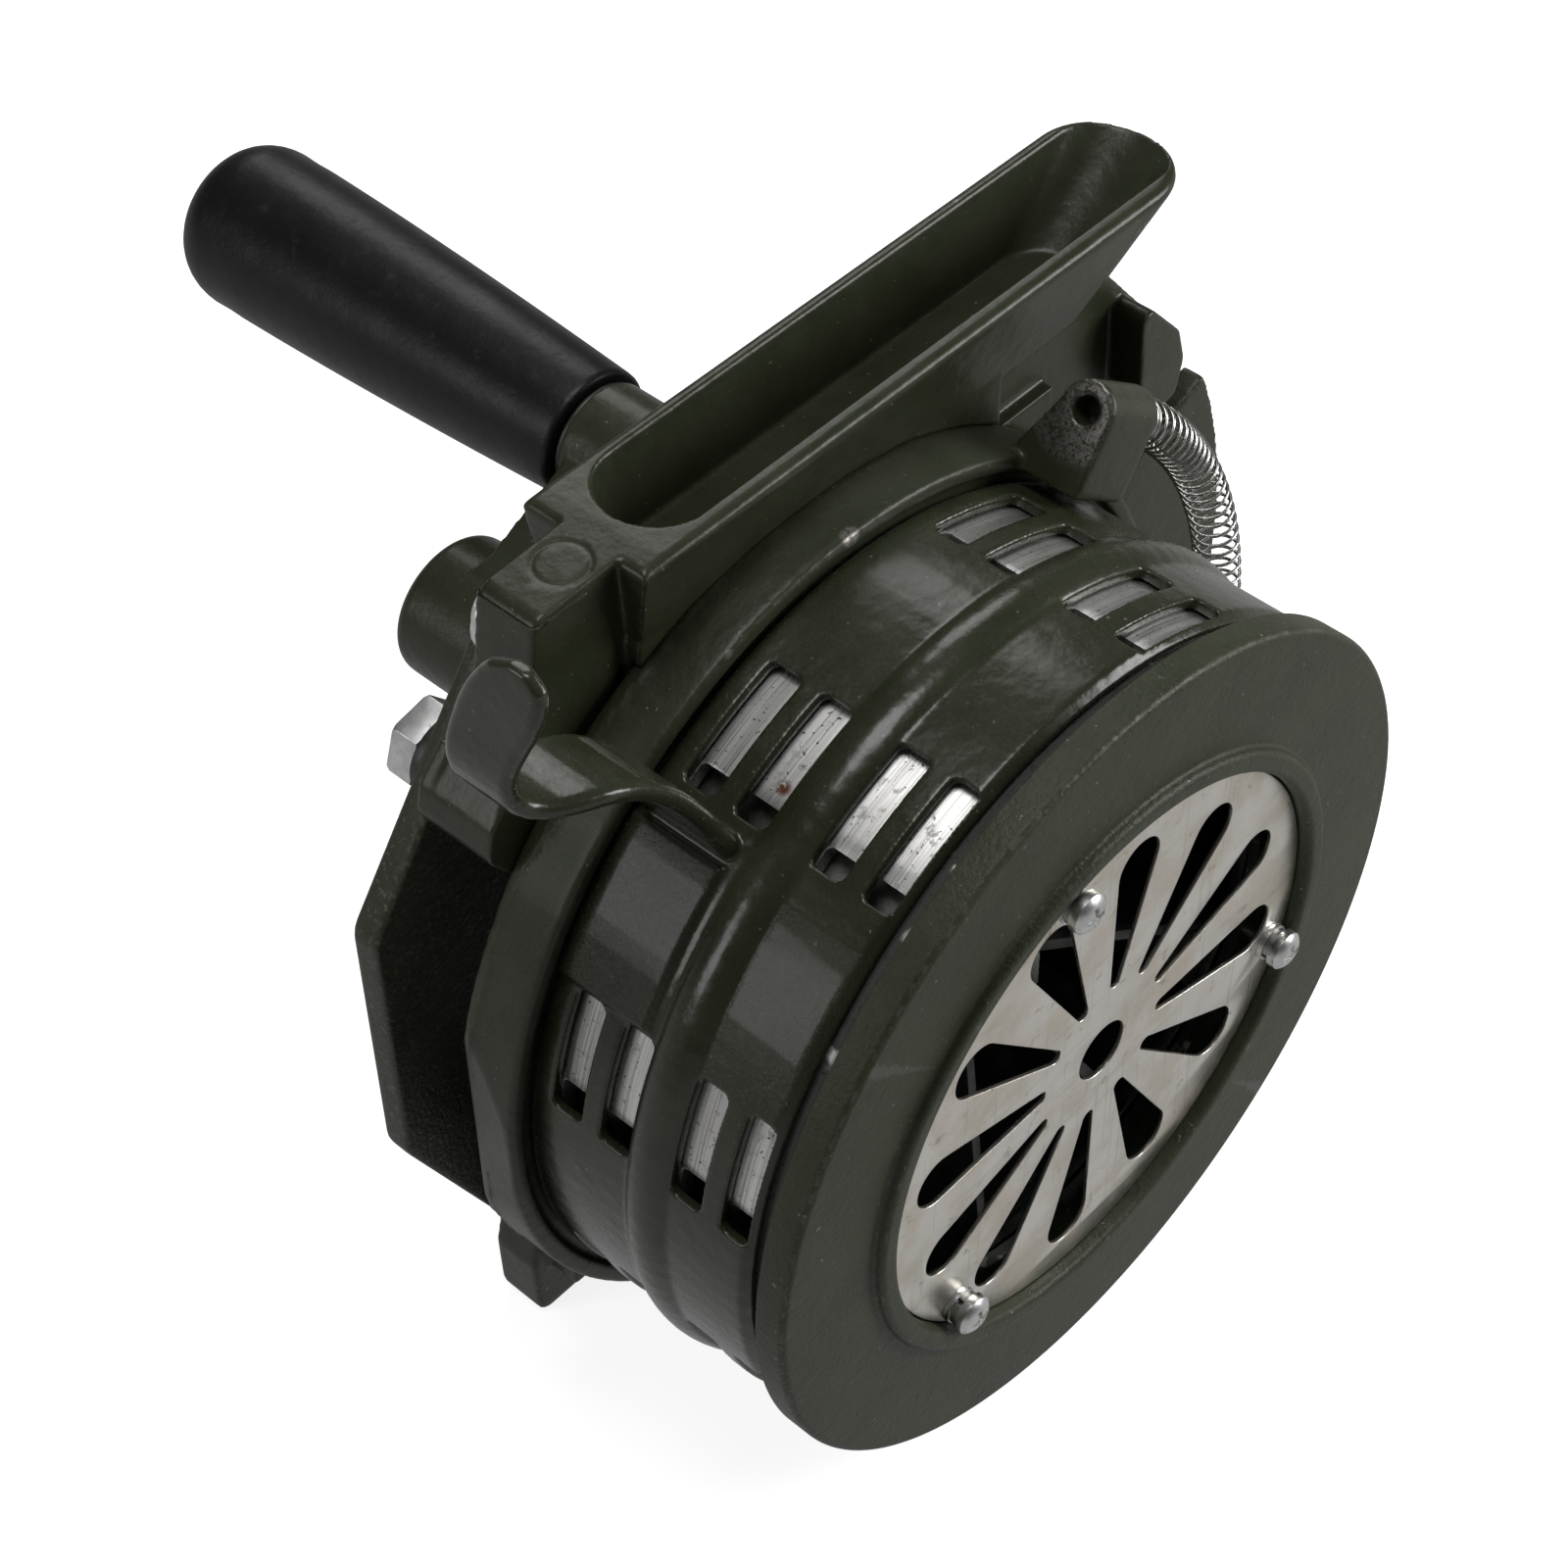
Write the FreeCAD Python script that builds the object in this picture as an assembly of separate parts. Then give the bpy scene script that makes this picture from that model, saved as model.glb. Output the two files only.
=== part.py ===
import FreeCAD, Part
import math
import os

# Hand crank siren. The frame's origin is on the drum axis, in the plane where
# the front cover meets the drum. +Y runs along the drum axis to the crank at
# the rear, +Z is up when the siren stands on its feet, and +X is to the right
# of someone who looks at the front cover. All sizes are in millimetres.

# Fits
fit = 0.05              # radial clearance of shafts, pins and seated rings
sleeve_fit = 0.3        # radial clearance between the drum and its shutter sleeve
face_gap = 0.5          # axial clearance beside parts that turn

# Front cover and intake grille
cover_r = 75.0
cover_thick = 5.5
cover_round = 1.2
collar_r_in = 50.9
collar_wall = 3.6
collar_proud = 1.7
grille_sink = 0.8
grille_thick = 0.8
grille_gap = 0.25
intake_r = 46.5
grille_hole_r = 5.5
petal_count = 12
petal_first_deg = 22.0
petal_inner_r = 14.0
petal_outer_r = 44.6
petal_tip_r = 1.3
petal_round_r = 4.9
grille_screw_r = 47.0
grille_screw_count = 3
grille_screw_first_deg = 104.0
grille_boss_r = 4.5

# Small screws, shared by the grille, the cover and the drum
screw_r = 1.75
screw_head_r = 3.5
screw_head_h = 2.6
spring_washer_h = 1.3
spacer_h = 1.0
spacer_r = 3.3
spring_washer_wall = 1.1
spring_washer_slit = 0.8
recess_half = 0.45
recess_depth = 1.2

# Drum with the sound ports
port_count = 8
port_deg = 17.0
port_first_deg = 129.5
drum_r = 70.9
drum_wall = 3.0
drum_length = 54.5
drum_flange = 3.0
drum_flange_front_r = 48.0
drum_flange_rear_r = 60.0
cover_screw_r = 60.0
cover_screw_first_deg = 30.0
cover_screw_count = 6
drum_screw_r = 65.5
drum_screw_degs = (20.0, 160.0, 250.0, 290.0)

# Shutter sleeve
sleeve_wall = 2.0
sleeve_front = 3.2
sleeve_lap = 1.0        # how far the sleeve's rear edge enters the ring's mouth
rib_height = 1.4
rib_half = 4.3
front_land = 1.5
slot_land = 4.0
rib_land = 8.8
rear_land = 4.3
front_slot_less = 0.9   # how much narrower the front row of slots is
slot_corner = 1.2
shutter_travel_deg = 14.0
pad_deg = (130.0, 151.3)
pad_proud = 0.8
pad_length = 18.0

# Thumb lever: X, Y before the ring's front and Z of the middle of its strip,
# half its width, and its thickness
lever_path = (
    (-43.4, 8.7, 55.4, 9.2, 3.6),
    (-46.6, 8.9, 62.0, 8.4, 3.4),
    (-50.5, 9.2, 69.5, 7.8, 3.2),
    (-55.3, 9.2, 76.8, 7.8, 3.1),
    (-61.0, 9.2, 83.0, 7.9, 3.0),
    (-67.5, 8.9, 86.9, 7.8, 3.0),
    (-73.8, 7.7, 88.4, 7.2, 3.0),
    (-78.6, 6.5, 91.2, 6.4, 3.0),
    (-80.3, 6.5, 96.8, 6.2, 3.0),
    (-79.8, 8.5, 104.0, 6.6, 2.9),
    (-79.2, 11.3, 111.0, 6.7, 2.8),
    (-78.8, 13.1, 115.6, 5.6, 2.6),
    (-78.6, 13.9, 117.8, 3.9, 2.4),
    (-78.5, 14.3, 118.8, 1.8, 2.2),
)
lever_steps = 40

# Return spring and the two lugs that hold it
spring_r = 88.5
spring_ahead = 6.5
coil_r = 4.25
coil_wire = 1.0
spring_peg_length = 6.0
spring_peg_gap = 0.35
top_lug_deg = 54.0
top_lug_thick = 15.0
low_lug_deg = -15.5
low_lug_thick = 10.5
lug_half = 5.0
lug_hole_r = 2.3
lug_hole_depth = 5.0
spring_end_gap = 0.03
lug_base_sink = 2.7

# Rear housing
ring_wall = 3.1
ring_lap = 7.0          # how far the ring reaches over the drum's rear end
ring_mouth_gap = 1.8    # radial gap between the sleeve and the ring's mouth
ring_mouth_depth = 1.8
bulkhead_thick = 5.0
gear_space = 15.5
side_flat = 3.1
floor_gap = 0.5
bolt_at = (53.2, 48.6)
post_r = 9.5
foot_x = (48.5, 61.5)
foot_y = (5.5, 15.0)
foot_rounds = (0.0, 0.0, 2.0, 2.5, 0.0, 0.0)
web_y = (-1.0, 12.5)
foot_root = 2.5
foot_bend = 14.5
guard_r = 107.0
guard_deg = (-9.0, 23.0)
guard_thick = 4.5

# Gear train, in millimetre modules
module = 1.0
pressure_deg = 25.0
backlash = 0.10
rotor_teeth = 12
idler_wheel_teeth = 60
idler_pinion_teeth = 12
crank_teeth = 36
crank_at = (-26.88, 43.84)
wheel_width = 5.0
pinion_width = 6.0
case_gap = 0.8
case_wall = 2.0
case_hub_r = 13.0

# Rotor, its shaft and its bearings
rotor_gap = 0.7
rotor_wall = 2.5
rotor_front = 4.5
rotor_rear_gap = 1.5
rotor_eye_r = 50.0
rotor_ring = 2.0
rotor_plate = 2.5
vane_count = 8
vane_thick = 2.0
rotor_hub_r = 11.0
rotor_hub_front = 20.0
rotor_turn_deg = 9.0
shaft_r = 4.0
shaft_nose_r = 3.0
bearing_r = 8.0
bearing_width = 5.0
bearing_step = 2.5
boss_wall = 3.5
boss_gap = 1.1
nut_flats = 13.0
nut_height = 5.0
washer_r = 8.0
washer_thick = 1.6

# Idler and crank shafts
idler_pin_r = 2.5
idler_sleeve_r = 4.2
crank_shaft_r = 5.0
bush_wall = 2.0
bush_flange = 2.5
bush_flange_thick = 0.4
plate_boss = 5.0
plate_boss_r = 11.0

# Rear plate and its bolts
plate_thick = 5.8
plate_outline = ((77.0, 30.0), (47.0, 71.5), (-47.0, 71.5), (-77.0, 30.0),
                 (-77.0, -22.0), (-59.0, -58.0), (59.0, -58.0), (77.0, -22.0))
plate_corner_r = 6.0
bolt_r = 4.0
bolt_flats = 13.0
bolt_head_h = 5.3
bolt_washer_h = 1.9
bolt_washer_r = 7.2
bolt_into = 4.0

# Carry handle; its Y values are measured from the ring's rear face
tray_z = (72.5, 90.0)
tray_x = ((-35.0, 72.5), (-36.0, 96.0))
tray_y = ((-1.6, 17.5), (-4.8, 20.5))
pocket_z = (75.2, 90.0)
pocket_x = ((-27.0, 73.5), (-29.7, 94.0))
pocket_y = ((0.8, 15.1), (-1.5, 17.8))
tray_round = 1.5
saddle_gap = 0.1
saddle_x = (-35.5, 46.0)
saddle_z = (58.0, 74.0)
saddle_y = (-2.0, 2.5)
left_leg_y = (1.0, 12.5)
right_leg_y = (2.5, 15.5)
left_leg = ((-34.0, 90.0), (-52.3, 90.0), (-54.3, 76.0), (-58.0, 65.0), (-65.0, 56.5), (-66.0, 51.0),
            (-56.0, 38.0), (-46.0, 38.5), (-42.0, 44.0), (-40.0, 62.0), (-34.0, 73.0))
left_leg_rounds = (0.0, 2.6, 14.0, 14.0, 3.0, 4.0, 3.0, 3.0, 3.0, 3.0, 0.0)
left_block = ((-60.0, 62.0), (-65.0, 56.5), (-66.0, 51.0), (-56.0, 38.0), (-46.0, 38.5), (-42.0, 44.0),
              (-42.0, 60.0))
left_block_rounds = (0.0, 3.0, 4.0, 3.0, 3.0, 3.0, 0.0)
right_leg = ((44.0, 73.0), (77.0, 73.5), (90.0, 57.5), (92.0, 50.0), (90.5, 42.0), (80.0, 37.0),
             (62.0, 38.5), (46.0, 38.5), (42.0, 45.0))
right_leg_rounds = (0.0, 2.0, 3.0, 3.0, 3.0, 3.0, 3.0, 3.0, 2.0)
right_lobe = ((79.0, 69.5), (90.0, 57.0), (92.0, 50.0), (90.5, 43.0), (84.0, 42.0), (80.0, 50.0))
right_lobe_rounds = (2.0, 3.0, 3.0, 2.0, 2.0, 2.0)
right_block = ((62.0, 38.5), (46.0, 38.5), (42.0, 45.0), (43.0, 60.0), (62.0, 60.0))

# Strap screw at the rear of the left leg
strap_at = (-47.0, 80.0)
strap_washer_r = 6.4
strap_washer_h = 1.2
strap_head_r = 4.6
strap_head_h = 3.0
strap_screw_r = 2.5
strap_screw_length = 9.0

# Crank and grip
crank_radius = 34.5
crank_rest_deg = 39.5
crank_hub_r = 12.4
crank_hub_gap = 0.2
crank_hub_length = 23.6
crank_boss_r = 10.0
crank_boss_length = 11.5
arm_step = 2.6
arm_thick = 9.0
crank_screw_r = 3.0
crank_screw_head_r = 5.2
crank_screw_head_h = 5.0
crank_screw_length = 16.0
grip_length = 87.0
grip_near_r = 11.2
grip_far_r = 14.4
grip_bore_r = 5.2
spindle_fit = 0.1
grip_counter_r = 8.4
grip_counter_depth = 9.0
spindle_head_r = 7.0
spindle_head_h = 5.0
spindle_thread_r = 4.0
grip_washer_thick = 1.0
cap_thick = 2.0

# Stations along the drum axis that follow from the sizes above
cover_front = -cover_thick
grille_front = cover_front + grille_sink
grille_back = grille_front + grille_thick
ring_front = drum_length - ring_lap
sleeve_bore = drum_r + sleeve_fit
sleeve_r = sleeve_bore + sleeve_wall
sleeve_rear = ring_front + sleeve_lap
sleeve_length = sleeve_rear - sleeve_front
pad_front = sleeve_rear - pad_length
lands = front_land + 2 * slot_land + rib_land + rear_land
slot_width = (sleeve_length - lands + front_slot_less) / 4
slot_rows = []
slot_start = sleeve_front + front_land
for less, land in ((front_slot_less, slot_land), (0.0, rib_land), (0.0, slot_land), (0.0, rear_land)):
    slot_end = slot_start + slot_width - less
    slot_rows.append((slot_start, slot_end))
    slot_start = slot_end + land
drum_rows = [(slot_rows[0][0], slot_rows[1][1]), (slot_rows[2][0], slot_rows[3][1])]
sleeve_mid = slot_rows[1][1] + rib_land / 2
ring_mouth_r = sleeve_r + ring_mouth_gap
ring_r = ring_mouth_r + ring_wall
ring_rear = drum_length + bulkhead_thick
floor_z = -cover_r
spring_y = ring_front - spring_ahead
plate_front = ring_rear + gear_space
plate_rear = plate_front + plate_thick
rotor_r = drum_r - drum_wall - rotor_gap
rotor_rear = drum_length - drum_flange - rotor_rear_gap
boss_front = rotor_rear - rotor_wall + boss_gap
bearing_front_y = boss_front + face_gap
bearing_rear_y = bearing_front_y + bearing_width + bearing_step
boss_rear = bearing_rear_y + bearing_width
rotor_wheel_y = boss_rear + face_gap
idler_wheel_y = rotor_wheel_y + (pinion_width - wheel_width) / 2
crank_wheel_y = plate_front - face_gap - pinion_width + (pinion_width - wheel_width) / 2
idler_reach = module * (rotor_teeth + idler_wheel_teeth) / 2
crank_reach = module * (idler_pinion_teeth + crank_teeth) / 2
crank_span = math.hypot(crank_at[0], crank_at[1])
idler_turn = math.degrees(math.acos(
    (idler_reach ** 2 + crank_span ** 2 - crank_reach ** 2) / (2 * idler_reach * crank_span)))
idler_deg = math.degrees(math.atan2(crank_at[1], crank_at[0])) - idler_turn
idler_at = (
    idler_reach * math.cos(math.radians(idler_deg)),
    idler_reach * math.sin(math.radians(idler_deg)),
)
crank_hub_front = plate_rear + plate_boss + bush_flange_thick + crank_hub_gap
crank_hub_rear = crank_hub_front + crank_hub_length
arm_front = crank_hub_front + arm_step
crank_boss_rear = arm_front + crank_boss_length
grip_near_y = crank_boss_rear + grip_washer_thick
grip_far_y = grip_near_y + grip_length
grip_at = (
    crank_at[0] + crank_radius * math.cos(math.radians(crank_rest_deg)),
    crank_at[1] + crank_radius * math.sin(math.radians(crank_rest_deg)),
)

os.makedirs("parts", exist_ok=True)
V = FreeCAD.Vector
AXIS = V(0, 1, 0)
ORIGIN = V(0, 0, 0)


def polar(radius, deg, centre=(0.0, 0.0)):
    """X and Z of a point at a polar angle from +X towards +Z."""
    angle = math.radians(deg)
    return (centre[0] + radius * math.cos(angle), centre[1] + radius * math.sin(angle))


def rod(radius, y0, y1, at=(0.0, 0.0)):
    return Part.makeCylinder(radius, y1 - y0, V(at[0], y0, at[1]), AXIS)


def tube(outer, inner, y0, y1, at=(0.0, 0.0)):
    return rod(outer, y0, y1, at).cut(rod(inner, y0 - 1, y1 + 1, at))


def cone(r0, r1, y0, y1, at=(0.0, 0.0)):
    return Part.makeCone(r0, r1, y1 - y0, V(at[0], y0, at[1]), AXIS)


def prism(points, y0, y1):
    """A prism along Y from X, Z points."""
    corners = [V(x, y0, z) for x, z in points]
    wire = Part.makePolygon(corners + corners[:1])
    return Part.Face(wire).extrude(V(0, y1 - y0, 0))


def soft_prism(points, rounds, y0, y1):
    """A prism along Y from X, Z points, each corner with its own radius."""
    count = len(points)
    bends = []
    for i in range(count):
        corner, before, after = [V(points[(i + k) % count][0], y0, points[(i + k) % count][1]) for k in (0, -1, 1)]
        back = (before - corner).normalize()
        on = (after - corner).normalize()
        half = back.getAngle(on) / 2
        reach = rounds[i] / math.tan(half)
        middle = corner + (back + on).normalize() * (rounds[i] / math.sin(half) - rounds[i])
        bends.append((corner + back * reach, middle, corner + on * reach))
    edges = []
    for i, (start, middle, end) in enumerate(bends):
        if rounds[i] > 0:
            edges.append(Part.Arc(start, middle, end).toShape())
        edges.append(Part.makeLine(end, bends[(i + 1) % count][0]))
    return Part.Face(Part.Wire(edges)).extrude(V(0, y1 - y0, 0))


def hexagon(flats, y0, y1, at=(0.0, 0.0), turn=30.0):
    radius = flats / 2 / math.cos(math.radians(30))
    return prism([polar(radius, turn + 60 * i, at) for i in range(6)], y0, y1)


def turned(profile):
    """A solid of revolution about the drum axis. Each entry of the closed
    profile is a radius and a Y; a third pair is the middle of an arc that
    leads to that point."""
    edges = []
    last = V(profile[-1][0], profile[-1][1], 0)
    for entry in profile:
        point = V(entry[0], entry[1], 0)
        if len(entry) == 4:
            edges.append(Part.Arc(last, V(entry[2], entry[3], 0), point).toShape())
        else:
            edges.append(Part.makeLine(last, point))
        last = point
    return Part.Face(Part.Wire(edges)).revolve(ORIGIN, AXIS, 360)


def spun(shape, deg):
    """The shape turned about the drum axis, +X towards +Z."""
    return shape.copy().rotate(ORIGIN, V(0, -1, 0), deg)


def around(shape, count, first=0.0):
    return [spun(shape, first + 360.0 / count * i) for i in range(count)]


def union(shapes):
    return shapes[0].multiFuse(shapes[1:]).removeSplitter()


def sector(radius, deg0, deg1, y0, y1):
    """A pie slice about the drum axis between two polar angles."""
    steps = max(2, int((deg1 - deg0) / 4))
    rim = [polar(radius, deg0 + (deg1 - deg0) * i / steps) for i in range(steps + 1)]
    return prism([(0.0, 0.0)] + rim, y0, y1)


def rounded_window(width, height, corner, x0, x1):
    """A rounded rectangle in Y and Z, centred on the X axis, run along X."""
    hw = width / 2
    hh = height / 2
    turn = corner * (1 - math.sqrt(0.5))
    points = ((hw - corner, hh), (hw, hh - corner), (hw, corner - hh), (hw - corner, -hh),
              (corner - hw, -hh), (-hw, corner - hh), (-hw, hh - corner), (corner - hw, hh))
    mids = ((hw - turn, hh - turn), (hw - turn, turn - hh), (turn - hw, turn - hh), (turn - hw, hh - turn))
    edges = []
    for i in range(4):
        a = V(x0, points[2 * i][1], points[2 * i][0])
        b = V(x0, points[2 * i + 1][1], points[2 * i + 1][0])
        c = points[(2 * i + 2) % 8]
        middle = V(x0, mids[i][1], mids[i][0])
        edges.append(Part.Arc(a, middle, b).toShape())
        edges.append(Part.makeLine(b, V(x0, c[1], c[0])))
    return Part.Face(Part.Wire(edges)).extrude(V(x1 - x0, 0, 0))


def port_cutters(rows, radius, reach, first_deg):
    """Radial cutters for the ports in each row, port_count round the drum."""
    chord = 2 * radius * math.sin(math.radians(port_deg / 2))
    cutters = []
    for start, end in rows:
        window = rounded_window(chord, end - start, slot_corner, radius - reach, radius + reach)
        window.translate(V(0, (start + end) / 2, 0))
        cutters += around(window, port_count, first_deg)
    return Part.makeCompound(cutters)


def gear(teeth, width, y0, at, tooth_deg, bore):
    """A spur gear with involute flanks and one tooth centred on tooth_deg."""
    pitch = module * teeth / 2
    base = pitch * math.cos(math.radians(pressure_deg))
    tip = pitch + module
    root = pitch - 1.25 * module
    start = max(base, root)
    roll = math.tan(math.radians(pressure_deg)) - math.radians(pressure_deg)
    half = math.pi / 2 / teeth - backlash / 2 / pitch + roll
    flank = []
    steps = 5
    for i in range(steps + 1):
        radius = start + (tip - start) * i / steps
        turn = math.acos(min(1.0, base / radius))
        flank.append((radius, half - (math.tan(turn) - turn)))
    points = []
    for i in range(teeth):
        middle = math.radians(tooth_deg) + 2 * math.pi * i / teeth
        side = [(root, flank[0][1])] + flank
        for radius, angle in side:
            points.append(polar(radius, math.degrees(middle - angle), at))
        for radius, angle in reversed(side):
            points.append(polar(radius, math.degrees(middle + angle), at))
    return prism(points, y0, y0 + width).cut(rod(bore, y0 - 1, y0 + width + 1, at))


def head_cross(y_top, y_bottom, at):
    """The crossed recess of a screw head that opens towards y_top."""
    low = min(y_top, y_bottom)
    high = max(y_top, y_bottom)
    reach = 2.0
    bars = []
    for dx, dz in ((reach, recess_half), (recess_half, reach)):
        corners = [(at[0] - dx, at[1] - dz), (at[0] + dx, at[1] - dz),
                   (at[0] + dx, at[1] + dz), (at[0] - dx, at[1] + dz)]
        bars.append(prism(corners, low, high))
    return bars[0].fuse(bars[1])


def domed_head(radius, height, y_seat, way, at):
    """A pan head that stands from y_seat towards way (+1 or -1 in Y)."""
    rise = height * 0.45
    edge = height - rise
    head = turned([(0, 0), (radius, 0), (radius, edge), (0, height, radius * 0.72, edge + rise * 0.72)])
    if way < 0:
        head.rotate(ORIGIN, V(1, 0, 0), 180)
    head.translate(V(at[0], y_seat, at[1]))
    return head


def pan_screw(y_seat, y_tip, at, head_r, head_h, shank_r):
    """A pan head screw that seats at y_seat, with its tip at y_tip."""
    way = 1 if y_seat > y_tip else -1
    head = domed_head(head_r, head_h, y_seat, way, at)
    shank = rod(shank_r, min(y_seat, y_tip), max(y_seat, y_tip), at)
    top = y_seat + way * head_h
    return head.fuse(shank).cut(head_cross(top + way, top - way * recess_depth, at)).removeSplitter()


def split_washer(y0, height, inner, wall, at, slit_deg):
    ring = tube(inner + wall, inner, y0, y0 + height, at)
    slit = Part.makeBox(wall + 2, height + 2, spring_washer_slit, V(inner - 1, y0 - 1, -spring_washer_slit / 2))
    slit.rotate(ORIGIN, V(0, -1, 0), slit_deg)
    slit.translate(V(at[0], 0, at[1]))
    return ring.cut(slit)


def save(name, shapes):
    """Writes one sub-part; a list becomes a group of separate solids."""
    shape = Part.makeCompound(shapes) if isinstance(shapes, list) else shapes
    for solid in shape.Solids:
        if not solid.isValid():
            print("invalid solid in", name)
    shape.exportStep("parts/" + name + ".step")
    print(name, "solids", len(shape.Solids), "volume", round(shape.Volume, 1))


def front_cover():
    """The cast front ring with its raised collar and the ledge of the grille."""
    ledge = collar_r_in + collar_wall
    r = cover_round
    body = turned([
        (intake_r, grille_back), (collar_r_in, grille_back), (collar_r_in, cover_front - collar_proud + 0.8),
        (collar_r_in + 0.8, cover_front - collar_proud, collar_r_in + 0.23, cover_front - collar_proud + 0.23),
        (ledge - 1.4, cover_front - collar_proud),
        (ledge, cover_front, ledge - 0.4, cover_front - collar_proud * 0.72),
        (cover_r - r, cover_front), (cover_r, cover_front + r, cover_r - r * 0.29, cover_front + r * 0.29),
        (cover_r, 0.0), (intake_r, 0.0),
    ])
    screws = grille_screw_places()
    body = union([body] + [rod(grille_boss_r, grille_back, 0.0, at) for at in screws])
    holes = [rod(screw_r + fit, grille_back - 1, 1.0, at) for at in screws]
    holes += [rod(screw_r + fit, cover_front + 1.4, 1.0, at) for at in cover_screw_places()]
    return body.cut(Part.makeCompound(holes))


def grille_screw_places():
    step = 360.0 / grille_screw_count
    return [polar(grille_screw_r, grille_screw_first_deg + step * i) for i in range(grille_screw_count)]


def cover_screw_places():
    step = 360.0 / cover_screw_count
    return [polar(cover_screw_r, cover_screw_first_deg + step * i) for i in range(cover_screw_count)]


def petal():
    """One tear-drop opening along +X: a small circle near the centre, a wide
    one near the rim and the two lines that touch both."""
    x0 = petal_inner_r + petal_tip_r
    x1 = petal_outer_r - petal_round_r
    lean = math.asin((petal_round_r - petal_tip_r) / (x1 - x0))
    s, c = math.sin(lean), math.cos(lean)
    y = grille_front - 1
    a = V(x0 - petal_tip_r * s, y, petal_tip_r * c)
    b = V(x1 - petal_round_r * s, y, petal_round_r * c)
    d = V(b.x, y, -b.z)
    e = V(a.x, y, -a.z)
    edges = [
        Part.makeLine(a, b), Part.Arc(b, V(petal_outer_r, y, 0), d).toShape(),
        Part.makeLine(d, e), Part.Arc(e, V(petal_inner_r, y, 0), a).toShape(),
    ]
    return Part.Face(Part.Wire(edges)).extrude(V(0, grille_thick + 2, 0))


def intake_grille():
    """The thin sheet grille with twelve tear-drop openings."""
    disc = tube(collar_r_in - grille_gap, grille_hole_r, grille_front, grille_back)
    cutters = around(petal(), petal_count, petal_first_deg)
    cutters += [rod(screw_r + fit, grille_front - 1, grille_back + 1, at) for at in grille_screw_places()]
    return disc.cut(Part.makeCompound(cutters))


def stator_drum():
    """The turned aluminium drum with eight sound ports in two rows."""
    wall = tube(drum_r, drum_r - drum_wall, 0.0, drum_length)
    front = tube(drum_r - 1, drum_flange_front_r, 0.0, drum_flange)
    rear = tube(drum_r - 1, drum_flange_rear_r, drum_length - drum_flange, drum_length)
    drum = union([wall, front, rear])
    cutters = [port_cutters(drum_rows, drum_r, drum_wall + 2, port_first_deg)]
    for at in cover_screw_places():
        cutters.append(rod(screw_r + fit, -1.0, drum_flange + 1, at))
        cutters.append(cone(screw_r, screw_head_r, drum_flange - (screw_head_r - screw_r), drum_flange, at))
    for at in drum_screw_places():
        cutters.append(rod(screw_r + fit, drum_length - drum_flange - 1, drum_length + 1, at))
    return drum.cut(Part.makeCompound(cutters))


def drum_screw_places():
    return [polar(drum_screw_r, deg) for deg in drum_screw_degs]


def cover_screws():
    """Flat head screws that hold the front cover to the drum's flange."""
    screws = []
    for at in cover_screw_places():
        head_h = screw_head_r - screw_r
        head = cone(screw_r - fit, screw_head_r - fit, drum_flange - head_h, drum_flange, at)
        shank = rod(screw_r, cover_front + 1.6, drum_flange - head_h + 0.1, at)
        screws.append(head.fuse(shank).removeSplitter())
    return screws


def lever_centres():
    """Two smooth curves through lever_path: its middle, and its half width
    with its thickness."""
    middle = Part.BSplineCurve()
    middle.interpolate([V(x, ring_front - ahead, z) for x, ahead, z, half, thick in lever_path])
    size = Part.BSplineCurve()
    size.interpolate(Points=[V(half, thick, 0) for x, ahead, z, half, thick in lever_path],
                     Parameters=middle.getKnots())
    return middle, size


def lever_section(middle, size, share):
    """The rounded cross-section of the thumb lever, at a share of its length."""
    first, last = middle.FirstParameter, middle.LastParameter
    at = first + (last - first) * share
    centre = middle.value(at)
    half, thick = size.value(at).x, size.value(at).y
    tangent = middle.tangent(at)[0]
    along = V(tangent.x, 0, tangent.z).normalize()
    across = along.cross(AXIS)
    r = thick * 0.45
    soft = r * 0.3
    points = []
    for sy, st in ((1, 1), (1, -1), (-1, -1), (-1, 1)):
        bend = [(half - r, thick / 2), (half - soft, thick / 2 - soft), (half, thick / 2 - r)]
        if sy * st < 0:
            bend.reverse()
        points += [(sy * a, st * b) for a, b in bend]
    corners = [centre + AXIS * a + across * b for a, b in points]
    return Part.makePolygon(corners + corners[:1])


def thumb_lever():
    middle, size = lever_centres()
    sections = [lever_section(middle, size, i / lever_steps) for i in range(lever_steps + 1)]
    return Part.makeLoft(sections, True, True)


def coil_bar(radius, start, end):
    """A round bar bent about the drum axis on the spring's own circle."""
    centre = V(spring_r, spring_y, 0)
    disc = Part.Face(Part.Wire(Part.makeCircle(radius, centre, V(0, 0, 1))))
    return spun(disc.revolve(ORIGIN, V(0, -1, 0), end - start), start)


def lug_reach(thick):
    """Half the angle that a lug takes up, where the coil's inner side meets it."""
    return math.degrees(math.asin((thick / 2 + spring_end_gap) / (spring_r - coil_r)))


def spring_peg(deg, thick, way):
    """The peg inside the coil, on the face of a lug that looks along way."""
    reach = lug_reach(thick) + math.degrees(spring_peg_length / spring_r)
    return coil_bar(coil_r - coil_wire - spring_peg_gap, min(deg, deg + way * reach), max(deg, deg + way * reach))


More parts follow.
